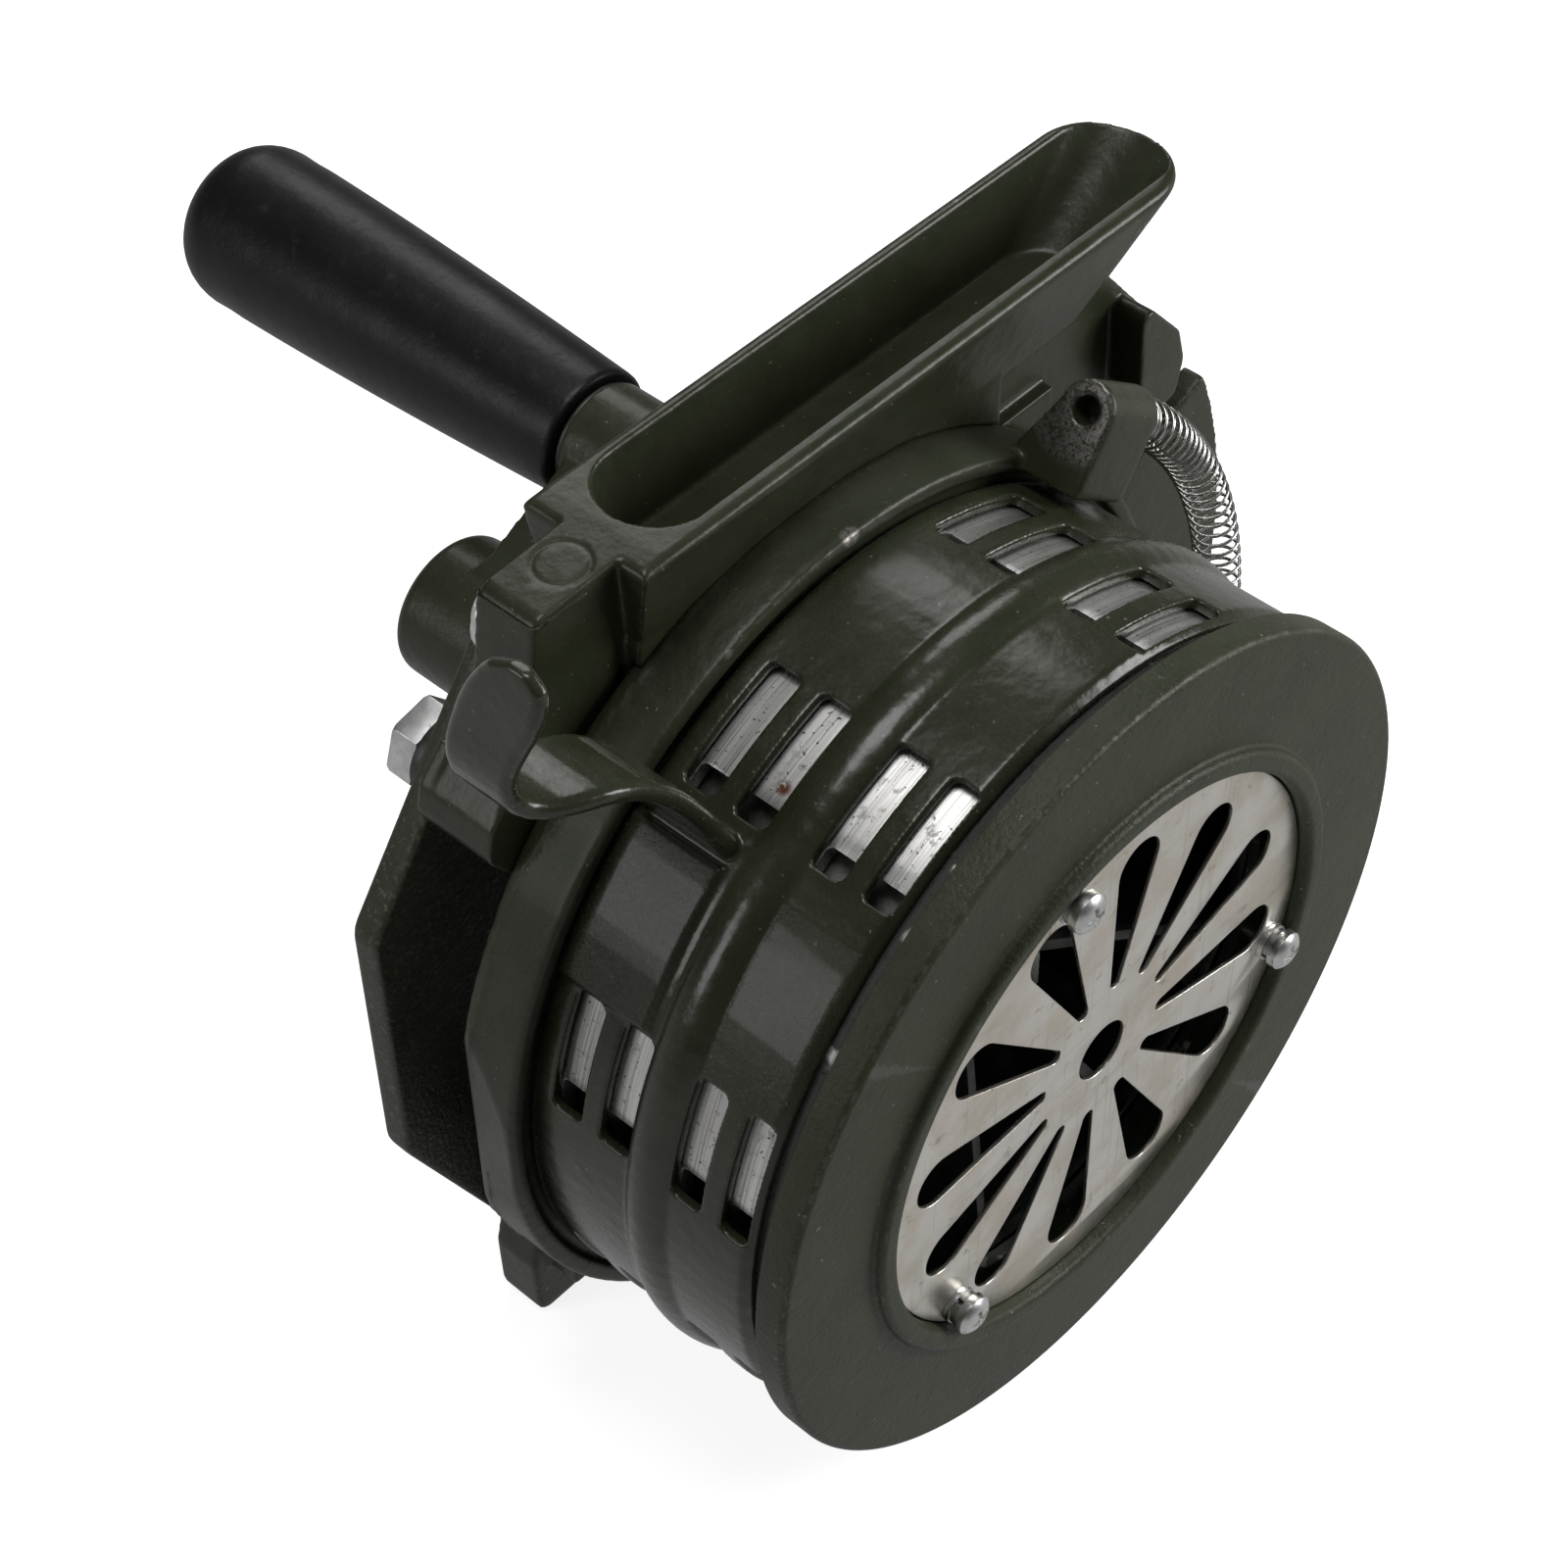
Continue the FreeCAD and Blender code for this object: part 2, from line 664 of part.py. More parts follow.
def shutter_sleeve():
    """The cast sleeve with its slots, rib, pad, thumb lever and spring lug."""
    rear = sleeve_rear
    body = turned([
        (sleeve_bore, sleeve_front), (sleeve_r - 1.4, sleeve_front), (sleeve_r, sleeve_front + 1.8),
        (sleeve_r, sleeve_mid - rib_half),
        (sleeve_r, sleeve_mid + rib_half, sleeve_r + rib_height, sleeve_mid),
        (sleeve_r, rear - 1.0), (sleeve_r - 0.9, rear, sleeve_r - 0.25, rear - 0.3), (sleeve_bore, rear),
    ])
    low, high = pad_deg
    pad = tube(sleeve_r + pad_proud, sleeve_bore + 0.4, pad_front, rear)
    pad = pad.common(sector(sleeve_r + 20, low, high, pad_front, rear))
    lug = Part.makeBox(spring_r - sleeve_bore - 0.6, 2 * lug_half, low_lug_thick,
                       V(sleeve_bore + 0.6, spring_y - lug_half, -low_lug_thick / 2))
    end = Part.makeCylinder(lug_half, low_lug_thick, V(spring_r, spring_y, -low_lug_thick / 2), V(0, 0, 1))
    lug = spun(lug.fuse(end), low_lug_deg).fuse(spring_peg(low_lug_deg, low_lug_thick, 1))
    slots = port_cutters(slot_rows, sleeve_r, sleeve_wall + 3, port_first_deg - shutter_travel_deg)
    body = union([body.cut(slots), pad, thumb_lever(), lug])
    return body.cut(rod(sleeve_bore, sleeve_front - 5, rear + 5))


def return_spring():
    """The envelope of the coil spring, bent round the drum between its lugs."""
    start = low_lug_deg + lug_reach(low_lug_thick)
    end = top_lug_deg - lug_reach(top_lug_thick)
    return coil_bar(coil_r, start, end).cut(coil_bar(coil_r - coil_wire, start - 1, end + 1))


def housing_lug():
    """The lug on the ring that holds the fixed end of the return spring."""
    y0 = spring_y - lug_half
    y1 = spring_y + lug_half
    back = ring_front + 3.0
    lug_base_r = ring_r - lug_base_sink
    outline = [
        Part.makeLine(V(lug_base_r, y0, 0), V(spring_r, y0, 0)),
        Part.Arc(V(spring_r, y0, 0), V(spring_r + lug_half, spring_y, 0), V(spring_r, y1, 0)).toShape(),
        Part.makeLine(V(spring_r, y1, 0), V(ring_r - 0.5, back, 0)),
        Part.makeLine(V(ring_r - 0.5, back, 0), V(lug_base_r, back, 0)),
        Part.makeLine(V(lug_base_r, back, 0), V(lug_base_r, y0, 0)),
    ]
    block = Part.Face(Part.Wire(outline)).extrude(V(0, 0, top_lug_thick))
    block.translate(V(0, 0, -top_lug_thick / 2))
    hole = Part.makeCylinder(lug_hole_r, lug_hole_depth + 1, V(spring_r, spring_y, top_lug_thick / 2 + 1), V(0, 0, -1))
    return spun(block.cut(hole), top_lug_deg).fuse(spring_peg(top_lug_deg, top_lug_thick, -1))


def gear_case(extra, y0, y1):
    """The three joined discs that follow the gear train."""
    crank_tip = module * (crank_teeth / 2 + 1) + case_gap
    idler_tip = module * (idler_wheel_teeth / 2 + 1) + case_gap
    return union([
        rod(crank_tip + extra, y0, y1, crank_at),
        rod(idler_tip + extra, y0, y1, idler_at),
        rod(case_hub_r - case_wall + extra, y0, y1),
    ])


def foot(side):
    """A lower corner post with its foot; side is +1 or -1 in X."""
    x, z = bolt_at
    post = rod(post_r, ring_rear - 1, plate_front, (side * x, -z))
    x0, x1 = foot_x
    root = (x0 - 2 * foot_root, -z - foot_root)
    bend = (x0 - 4, -z - foot_bend)
    outline = (root, bend, (x0, floor_z), (x1, floor_z), (x1 + 0.5, bend[1] + 2), (x1 - 3, foot_root - z))
    web = (root, bend, (x1 - 3, bend[1]), (x1 - 3, foot_root - z), (x - 13, 10 - z))
    front, rear = from_ring(foot_y)
    shoe = soft_prism([(side * px, pz) for px, pz in outline], foot_rounds, front, rear)
    front, rear = from_ring(web_y)
    return union([post, shoe, prism([(side * px, pz) for px, pz in web], front, rear)])


def rear_housing():
    """The ring behind the sleeve, its bulkhead, gear case, feet and guard."""
    r = 0.8
    seat_r = drum_r + fit
    mouth = ring_front + ring_mouth_depth
    ring = turned([
        (ring_mouth_r, ring_front), (ring_r - r, ring_front),
        (ring_r, ring_front + r, ring_r - r * 0.29, ring_front + r * 0.29),
        (ring_r, ring_rear - 1.2), (ring_r - 1.2, ring_rear, ring_r - 0.35, ring_rear - 0.35),
        (bearing_r - 1.5, ring_rear), (bearing_r - 1.5, drum_length), (seat_r, drum_length),
        (seat_r, mouth), (ring_mouth_r, mouth),
    ])
    wedges = []
    for side in (-1, 1):
        outer = side * (ring_r + 4)
        low = -ring_r - 4
        points = [V(side * ring_r, ring_front, low), V(side * (ring_r - side_flat), ring_rear, low),
                  V(side * (ring_r - side_flat), ring_rear + 1, low), V(outer, ring_rear + 1, low),
                  V(outer, ring_front, low)]
        wedges.append(Part.Face(Part.makePolygon(points + points[:1])).extrude(V(0, 0, -2 * low)))
    wedges.append(prism([(side * ring_r, z) for side, z in ((-1, -2 * ring_r), (1, -2 * ring_r))]
                        + [(side * ring_r, floor_z + floor_gap) for side in (1, -1)], ring_front - 1, ring_rear + 1))
    ring = ring.cut(Part.makeCompound(wedges))
    boss = tube(bearing_r + boss_wall, bearing_r - 1.5, boss_front, boss_rear)
    guard = tube(guard_r, ring_r - side_flat - 2, ring_rear - guard_thick, ring_rear)
    guard = guard.common(sector(guard_r + 20, guard_deg[0], guard_deg[1], ring_rear - guard_thick, ring_rear))
    case = gear_case(case_wall, ring_rear - 1, plate_front).cut(gear_case(0.0, ring_rear - 2, plate_front + 1))
    body = union([ring, boss, guard, case, housing_lug()] + [foot(side) for side in (-1, 1)])
    cutters = [
        rod(bearing_r + fit, boss_front - 1, bearing_front_y + bearing_width),
        rod(bearing_r + fit, bearing_rear_y, boss_rear + 1),
        rod(idler_pin_r + fit, drum_length + 1.5, ring_rear + 1, idler_at),
    ]
    cutters += [rod(bolt_r + fit, bolt_tip() - 0.5, plate_front + 1, at) for at in bolt_places()]
    cutters += [rod(screw_r + fit, drum_length - 1, ring_rear + 1, at) for at in drum_screw_places()]
    return body.cut(Part.makeCompound(cutters)).removeSplitter()


def bolt_places():
    """The four bolts: the two through the handle's legs, then the two low ones."""
    x, z = bolt_at
    return [(-x, z), (x, z), (-x, -z), (x, -z)]


def bolt_tip():
    return ring_rear - bolt_into


def rear_plate():
    """The cast plate that closes the gear case and carries the crank bush."""
    body = prism(plate_outline, plate_front, plate_rear)
    corners = [e for e in body.Edges if abs(e.tangentAt(e.FirstParameter).y) > 0.99]
    body = body.makeFillet(plate_corner_r, corners)
    rim = [e for e in body.Edges if abs(e.CenterOfMass.y - plate_rear) < 0.01]
    body = body.makeFillet(1.2, rim)
    body = body.fuse(rod(plate_boss_r, plate_front + 1, plate_rear + plate_boss, crank_at))
    cutters = [rod(bolt_r + 0.3, plate_front - 1, plate_rear + 1, at) for at in bolt_places()]
    cutters.append(rod(crank_shaft_r + bush_wall + fit, plate_front - 1, plate_rear + plate_boss + 1, crank_at))
    cutters.append(rod(idler_pin_r + fit, plate_front - 1, plate_front + 3.0, idler_at))
    return body.cut(Part.makeCompound(cutters)).removeSplitter()


def plate_bolts():
    """Hex bolts that clamp the rear plate and the handle's legs."""
    seat = plate_rear + bolt_washer_h
    bolts = []
    for at in bolt_places():
        head = hexagon(bolt_flats, seat, seat + bolt_head_h, at, 12.0)
        dome = cone(bolt_flats * 0.72, bolt_flats * 0.5, seat, seat + bolt_head_h + 1.6, at)
        bolts.append(head.common(dome).fuse(rod(bolt_r, bolt_tip(), seat, at)).removeSplitter())
    return bolts


def bolt_washers():
    inner = bolt_r + 0.2
    return [split_washer(plate_rear, bolt_washer_h, inner, bolt_washer_r - inner, at, 200.0) for at in bolt_places()]


def drum_screws():
    """Pan head screws that hold the drum's rear flange to the bulkhead."""
    tip = drum_length - drum_flange
    return [pan_screw(ring_rear, tip, at, screw_head_r, screw_head_h, screw_r) for at in drum_screw_places()]


def long_outline(xs, ys, z, round_left):
    """A long outline in X and Y at one height, with a round right end and,
    if round_left is set, a round left end too."""
    half = (ys[1] - ys[0]) / 2
    middle = (ys[1] + ys[0]) / 2
    nose = xs[1] - half
    left = xs[0] + half if round_left else xs[0]
    a = V(left, ys[0], z)
    b = V(nose, ys[0], z)
    c = V(nose, ys[1], z)
    d = V(left, ys[1], z)
    back = Part.Arc(d, V(xs[0], middle, z), a).toShape() if round_left else Part.makeLine(d, a)
    return Part.Wire([Part.makeLine(a, b), Part.Arc(b, V(xs[1], middle, z), c).toShape(),
                      Part.makeLine(c, d), back])


def from_ring(span):
    """The Y values of the handle, from the ring's rear face to the frame's."""
    return [ring_rear + y for y in span]


def carry_handle():
    """The cast finger tray on its two legs, seated on the housing ring."""
    tray = Part.makeLoft([long_outline(tray_x[i], from_ring(tray_y[i]), tray_z[i], False) for i in (0, 1)],
                         True, True)
    rims = [e for e in tray.Edges if abs(e.CenterOfMass.z - tray_z[1]) < 0.01]
    tray = tray.makeFillet(tray_round, rims)
    low = long_outline(pocket_x[0], from_ring(pocket_y[0]), pocket_z[0], True)
    top = long_outline(pocket_x[1], from_ring(pocket_y[1]), pocket_z[1], True)
    over = long_outline(pocket_x[1], from_ring(pocket_y[1]), pocket_z[1] + 5, True)
    pocket = [Part.makeLoft([low, top], True, True), Part.makeLoft([top, over], True, True)]
    left_y = from_ring(left_leg_y)
    right_y = from_ring(right_leg_y)
    left, right = saddle_x
    low_z, high_z = saddle_z
    saddle = [(left, low_z), (right, low_z), (right, high_z), (left, high_z)]
    front, rear = from_ring(saddle_y)
    parts = [tray, prism(saddle, front, rear)]
    parts.append(soft_prism(left_leg, left_leg_rounds, left_y[0], left_y[1]))
    parts.append(soft_prism(right_leg, right_leg_rounds, right_y[0], right_y[1]))
    parts.append(soft_prism(left_block, left_block_rounds, ring_rear, plate_front))
    parts.append(prism(right_block, ring_rear, plate_front))
    parts.append(soft_prism(right_lobe, right_lobe_rounds, ring_rear - guard_thick, right_y[1]))
    body = union(parts)
    cutters = pocket + [rod(ring_r + saddle_gap, 0.0, ring_rear)]
    cutters.append(gear_case(case_wall + 0.2, ring_rear - 1, plate_front + 1))
    cutters += [rod(bolt_r + 0.3, ring_rear - 5, plate_front + 5, at) for at in bolt_places()[:2]]
    cutters.append(rod(strap_screw_r + fit, strap_seat() - strap_screw_length, plate_front + 5, strap_at))
    return body.cut(Part.makeCompound(cutters)).removeSplitter()


def strap_washer():
    return tube(strap_washer_r, strap_screw_r + 0.2, strap_seat(), strap_seat() + strap_washer_h, strap_at)


def strap_seat():
    return ring_rear + left_leg_y[1]


def strap_screw():
    seat = strap_seat() + strap_washer_h
    return pan_screw(seat, seat - strap_screw_length, strap_at, strap_head_r, strap_head_h, strap_screw_r)


def rotor():
    """The cast rotor: a hub, radial vanes, a back plate and a ported rim."""
    rim = tube(rotor_r, rotor_r - rotor_wall, rotor_front, rotor_rear)
    ring = tube(rotor_r - 1, rotor_eye_r, rotor_front, rotor_front + rotor_ring)
    plate_y = rotor_rear - rotor_wall - rotor_plate
    back = rod(rotor_r - 1, plate_y, plate_y + rotor_plate)
    hub = rod(rotor_hub_r, rotor_hub_front, plate_y + rotor_plate)
    vane = Part.makeBox(rotor_r - 1 - rotor_hub_r + 2, plate_y - rotor_front, vane_thick,
                        V(rotor_hub_r - 2, rotor_front + 0.5, -vane_thick / 2))
    vane = vane.cut(cone(rotor_eye_r - 2, rotor_hub_r, rotor_front - 0.01, rotor_hub_front - 0.5))
    half_pitch = 180.0 / port_count
    vanes = around(vane, vane_count, port_first_deg + half_pitch + rotor_turn_deg)
    body = union([rim, ring, back, hub] + vanes)
    cutters = [port_cutters(drum_rows, rotor_r, rotor_wall + 1.5, port_first_deg + rotor_turn_deg)]
    cutters.append(rod(shaft_r + fit, 0.0, rotor_rear + 1))
    return body.cut(Part.makeCompound(cutters))


def rotor_hub_back():
    return rotor_rear - rotor_wall


def rotor_shaft():
    """The rotor shaft: threaded nose, collar, bearing seats, pinion seat."""
    nose = rotor_hub_front - washer_thick - nut_height - 1.0
    collar = rod(shaft_r + 1.5, rotor_hub_back(), bearing_front_y)
    main = rod(shaft_r, nose, rotor_wheel_y - 0.2)
    tail = rod(shaft_nose_r, rotor_wheel_y - 0.2, rotor_wheel_y + pinion_width + 0.4)
    return union([main, collar, tail])


def rotor_washer():
    return tube(washer_r, shaft_r + fit, rotor_hub_front - washer_thick, rotor_hub_front)


def rotor_nut():
    top = rotor_hub_front - washer_thick
    nut = hexagon(nut_flats, top - nut_height, top)
    return nut.cut(rod(shaft_r + fit, top - nut_height - 1, top + 1))


def bearing(y0):
    """A ball bearing as its ring-shaped envelope with a groove in each face."""
    body = tube(bearing_r, shaft_r + fit, y0, y0 + bearing_width)
    groove_in = shaft_r + 1.4
    groove_out = bearing_r - 1.4
    cuts = [tube(groove_out, groove_in, y0 - 1, y0 + 0.4),
            tube(groove_out, groove_in, y0 + bearing_width - 0.4, y0 + bearing_width + 1)]
    return body.cut(Part.makeCompound(cuts))


def towards(start, end):
    return math.degrees(math.atan2(end[1] - start[1], end[0] - start[0]))


def rotor_pinion():
    gap = towards((0.0, 0.0), idler_at) + 180.0 / rotor_teeth
    return gear(rotor_teeth, pinion_width, rotor_wheel_y, (0.0, 0.0), gap, shaft_nose_r + fit)


def idler_wheel():
    tooth = towards(idler_at, (0.0, 0.0))
    wheel = gear(idler_wheel_teeth, wheel_width, idler_wheel_y, idler_at, tooth, idler_sleeve_r + fit)
    web = module * idler_wheel_teeth / 2 - 5.0
    groove = tube(web, idler_sleeve_r + 4.0, idler_wheel_y + wheel_width - 1.2,
                  idler_wheel_y + wheel_width + 1, idler_at)
    return wheel.cut(groove)


def idler_pinion():
    y0 = crank_wheel_y - (pinion_width - wheel_width) / 2
    gap = towards(idler_at, crank_at) + 180.0 / idler_pinion_teeth
    teeth = gear(idler_pinion_teeth, pinion_width, y0, idler_at, gap, idler_pin_r + fit)
    sleeve = tube(idler_sleeve_r, idler_pin_r + fit, ring_rear + face_gap, y0, idler_at)
    collar = tube(idler_sleeve_r + 1.6, idler_sleeve_r - 0.5, idler_wheel_y + wheel_width + 0.02, y0, idler_at)
    return union([teeth, sleeve, collar])


def idler_pin():
    return rod(idler_pin_r, drum_length + 1.5, plate_front + 2.8, idler_at)


def crank_wheel():
    tooth = towards(crank_at, idler_at)
    wheel = gear(crank_teeth, wheel_width, crank_wheel_y, crank_at, tooth, crank_shaft_r + fit)
    web = module * crank_teeth / 2 - 4.5
    groove = tube(web, crank_shaft_r + 4.0, crank_wheel_y - 1, crank_wheel_y + 1.2, crank_at)
    return wheel.cut(groove)


def crank_shaft():
    """The crank shaft from its wheel to the crank's hub, with a collar."""
    y0 = crank_wheel_y - 0.8
    shaft = rod(crank_shaft_r, y0, crank_hub_tail(), crank_at)
    collar = rod(crank_shaft_r + 1.8, y0, crank_wheel_y - 0.02, crank_at)
    hole = rod(crank_screw_r + fit, crank_hub_tail() - crank_screw_length, crank_hub_tail() + 1, crank_at)
    return shaft.fuse(collar).cut(hole).removeSplitter()


def crank_hub_tail():
    """Where the shaft ends inside the crank's hub."""
    return crank_hub_rear - crank_screw_head_h - 2.0


def crank_bush():
    """The bronze bush in the rear plate, in which the crank shaft turns."""
    y0 = plate_front - 0.4
    body = rod(crank_shaft_r + bush_wall, y0, plate_rear + plate_boss, crank_at)
    flange = rod(crank_shaft_r + bush_wall + bush_flange, plate_rear + plate_boss,
                 plate_rear + plate_boss + bush_flange_thick, crank_at)
    return body.fuse(flange).cut(rod(crank_shaft_r + fit, y0 - 1, crank_hub_front, crank_at)).removeSplitter()


def crank_arm():
    """The cast crank: a long hub, a tapering arm and the grip's boss."""
    hub = rod(crank_hub_r, crank_hub_front, crank_hub_rear, crank_at)
    hub = hub.makeFillet(2.2, [e for e in hub.Edges if abs(e.CenterOfMass.y - crank_hub_rear) < 0.01])
    boss = rod(crank_boss_r, arm_front, crank_boss_rear, grip_at)
    start = V(crank_at[0], arm_front, crank_at[1])
    end = V(grip_at[0], arm_front, grip_at[1])
    side = (end - start).normalize().cross(AXIS)

    def section(point, half, depth):
        rise = AXIS * depth
        corners = [point + side * half, point - side * half, point - side * half + rise, point + side * half + rise]
        return Part.makePolygon(corners + corners[:1])

    arm = Part.makeLoft([section(start, crank_hub_r - 1.5, arm_thick + 4.0),
                         section(end, crank_boss_r - 1.5, arm_thick)], True, True)
    body = union([hub, boss, arm])
    head_seat = crank_hub_rear - crank_screw_head_h - 0.5
    cutters = [
        rod(crank_shaft_r + fit, crank_hub_front - 1, crank_hub_tail(), crank_at),
        rod(crank_screw_r + 0.2, crank_hub_tail() - 1, crank_hub_rear, crank_at),
        rod(crank_screw_head_r + 0.3, head_seat, crank_hub_rear + 1, crank_at),
        rod(spindle_thread_r + fit, arm_front - 1, crank_boss_rear + 1, grip_at),
    ]
    return body.cut(Part.makeCompound(cutters))


def crank_screw():
    """The socket screw that holds the crank on its shaft."""
    seat = crank_hub_rear - crank_screw_head_h - 0.5
    head = rod(crank_screw_head_r, seat, seat + crank_screw_head_h, crank_at)
    shank = rod(crank_screw_r, seat - crank_screw_length, seat, crank_at)
    socket = hexagon(5.0, seat + 2.0, seat + crank_screw_head_h + 1, crank_at)
    return head.fuse(shank).cut(socket).removeSplitter()


def grip_spindle():
    """The shoulder screw on which the grip turns."""
    far = grip_far_y - grip_counter_depth
    thread = rod(spindle_thread_r, arm_front + 0.5, crank_boss_rear, grip_at)
    shoulder = rod(grip_bore_r - spindle_fit, crank_boss_rear, far + 0.3, grip_at)
    head = rod(spindle_head_r, far + 0.3, far + 0.3 + spindle_head_h, grip_at)
    socket = hexagon(6.0, far + 2.5, far + spindle_head_h + 2, grip_at)
    return union([thread, shoulder, head]).cut(socket)


def grip_washer():
    gap = 0.3
    return tube(grip_near_r - 1.6, grip_bore_r - spindle_fit + fit, crank_boss_rear,
                grip_near_y - gap, grip_at)


def grip():
    """The tapering grip with a round far end, bored for its spindle."""
    y0, y1 = grip_near_y, grip_far_y
    round_r = 5.0
    waist = y0 + grip_length * 0.45
    waist_r = grip_near_r + (grip_far_r - grip_near_r) * 0.68
    edges = [
        Part.makeLine(V(0, y0, 0), V(grip_near_r - 1.0, y0, 0)),
        Part.Arc(V(grip_near_r - 1.0, y0, 0), V(grip_near_r - 0.29, y0 + 0.29, 0),
                 V(grip_near_r, y0 + 1.0, 0)).toShape(),
        Part.Arc(V(grip_near_r, y0 + 1.0, 0), V(waist_r, waist, 0),
                 V(grip_far_r, y1 - round_r, 0)).toShape(),
        Part.Arc(V(grip_far_r, y1 - round_r, 0), V(grip_far_r - round_r * 0.29, y1 - round_r * 0.29, 0),
                 V(grip_far_r - round_r, y1, 0)).toShape(),
        Part.makeLine(V(grip_far_r - round_r, y1, 0), V(0, y1, 0)),
        Part.makeLine(V(0, y1, 0), V(0, y0, 0)),
    ]
    body = Part.Face(Part.Wire(edges)).revolve(ORIGIN, AXIS, 360)
    body.translate(V(grip_at[0], 0, grip_at[1]))
    cutters = [rod(grip_bore_r, y0 - 1, y1 + 1, grip_at),
               rod(grip_counter_r, y1 - grip_counter_depth, y1 + 1, grip_at)]
    return body.cut(Part.makeCompound(cutters))


def grip_cap():
    """The plug that closes the far end of the grip."""
    return rod(grip_counter_r - fit, grip_far_y - cap_thick, grip_far_y, grip_at)


def grille_seat():
    return grille_front - spacer_h


def grille_screws():
    seat = grille_seat() - spring_washer_h
    places = grille_screw_places()
    return [pan_screw(seat, 0.0, at, screw_head_r, screw_head_h, screw_r) for at in places]


def grille_spacers():
    places = grille_screw_places()
    return [tube(spacer_r, screw_r + 0.15, grille_seat(), grille_front, at) for at in places]


def grille_washers():
    y0 = grille_seat() - spring_washer_h
    return [split_washer(y0, spring_washer_h, screw_r + 0.15, spring_washer_wall, at, 30.0 + 80 * i)
            for i, at in enumerate(grille_screw_places())]


save("front_cover", front_cover())
save("intake_grille", intake_grille())
save("grille_screws", grille_screws())
save("grille_spring_washers", grille_washers())
save("grille_spacers", grille_spacers())
save("cover_screws", cover_screws())
save("stator_drum", stator_drum())
save("drum_screws", drum_screws())
save("shutter_sleeve", shutter_sleeve())
save("return_spring", return_spring())
save("rear_housing", rear_housing())
save("carry_handle", carry_handle())
save("strap_washer", strap_washer())
save("strap_screw", strap_screw())
save("rear_plate", rear_plate())
save("plate_bolts", plate_bolts())
save("plate_bolt_washers", bolt_washers())
save("rotor", rotor())
save("rotor_shaft", rotor_shaft())
save("rotor_washer", rotor_washer())
save("rotor_nut", rotor_nut())
save("rotor_bearing_front", bearing(bearing_front_y))
save("rotor_bearing_rear", bearing(bearing_rear_y))
save("rotor_pinion", rotor_pinion())
save("idler_wheel", idler_wheel())
save("idler_pinion", idler_pinion())
save("idler_pin", idler_pin())
save("crank_wheel", crank_wheel())
save("crank_shaft", crank_shaft())
save("crank_bush", crank_bush())
save("crank_arm", crank_arm())
save("crank_screw", crank_screw())
save("grip_spindle", grip_spindle())
save("grip_washer", grip_washer())
save("hand_grip", grip())
save("grip_cap", grip_cap())
print("crank axis", crank_at, "grip axis", grip_at)
print("teeth", rotor_teeth, idler_wheel_teeth, idler_pinion_teeth, crank_teeth)
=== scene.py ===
import bpy
import bmesh
import math
from mathutils import Matrix, Vector


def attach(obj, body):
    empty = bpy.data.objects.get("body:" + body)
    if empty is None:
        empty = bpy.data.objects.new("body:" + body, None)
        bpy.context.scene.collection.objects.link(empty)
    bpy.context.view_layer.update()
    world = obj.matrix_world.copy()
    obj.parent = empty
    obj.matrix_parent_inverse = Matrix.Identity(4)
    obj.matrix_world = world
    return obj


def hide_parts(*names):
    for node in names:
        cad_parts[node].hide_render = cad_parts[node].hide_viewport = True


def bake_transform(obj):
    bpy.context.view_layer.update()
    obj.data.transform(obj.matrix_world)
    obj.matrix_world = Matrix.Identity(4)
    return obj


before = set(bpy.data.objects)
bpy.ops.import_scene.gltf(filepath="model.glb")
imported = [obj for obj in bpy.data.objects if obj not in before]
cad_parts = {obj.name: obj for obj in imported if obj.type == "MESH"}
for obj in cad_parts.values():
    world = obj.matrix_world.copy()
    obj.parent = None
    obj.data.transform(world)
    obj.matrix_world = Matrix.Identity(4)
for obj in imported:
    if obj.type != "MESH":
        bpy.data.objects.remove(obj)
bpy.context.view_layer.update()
scene = bpy.context.scene


# Front cover: a cast aluminium ring, 150 mm across, with a soft raised collar
# round its intake. Olive paint over a rough sand-cast skin, thin at the edges,
# where a painted highlight also lightens it.
# The outline is turned about the drum axis; the cover is screwed to the drum.
class Value:
    """A socket of a material, so that sums on it read as plain arithmetic."""

    def __init__(self, tree, socket):
        self.tree = tree
        self.socket = socket

    def maths(self, operation, first, second):
        """A Math node on two values, of which one may be a plain number."""
        node = self.tree.nodes.new("ShaderNodeMath")
        node.operation = operation
        for slot, value in zip(node.inputs, (first, second)):
            if isinstance(value, Value):
                self.tree.links.new(value.socket, slot)
            else:
                slot.default_value = value
        return Value(self.tree, node.outputs[0])

    def __add__(self, other):
        return self.maths("ADD", self, other)

    def __radd__(self, other):
        return self.maths("ADD", other, self)

    def __sub__(self, other):
        return self.maths("SUBTRACT", self, other)

    def __rsub__(self, other):
        return self.maths("SUBTRACT", other, self)

    def __mul__(self, other):
        return self.maths("MULTIPLY", self, other)

    def __rmul__(self, other):
        return self.maths("MULTIPLY", other, self)

    def highest(self, other):
        return self.maths("MAXIMUM", self, other)


class Nodes:
    """A tree of nodes, to which one method adds any node."""

    def __init__(self, tree):
        self.tree = tree

    def node(self, kind, settings=None, sockets=None, out=0):
        """A node of one type, with its settings, then the values or links of its sockets."""
        node = self.tree.nodes.new("ShaderNode" + kind)
        for name, value in (settings or {}).items():
            setattr(node, name, value)
        self.fill(node, sockets or {})
        return Value(self.tree, node.outputs[out])

    def fill(self, node, sockets):
        for name, value in sockets.items():
            if isinstance(value, Value):
                self.tree.links.new(value.socket, node.inputs[name])
            elif isinstance(value, tuple) and len(value) == 3 and node.inputs[name].type == "RGBA":
                node.inputs[name].default_value = (*value, 1)
            else:
                node.inputs[name].default_value = value


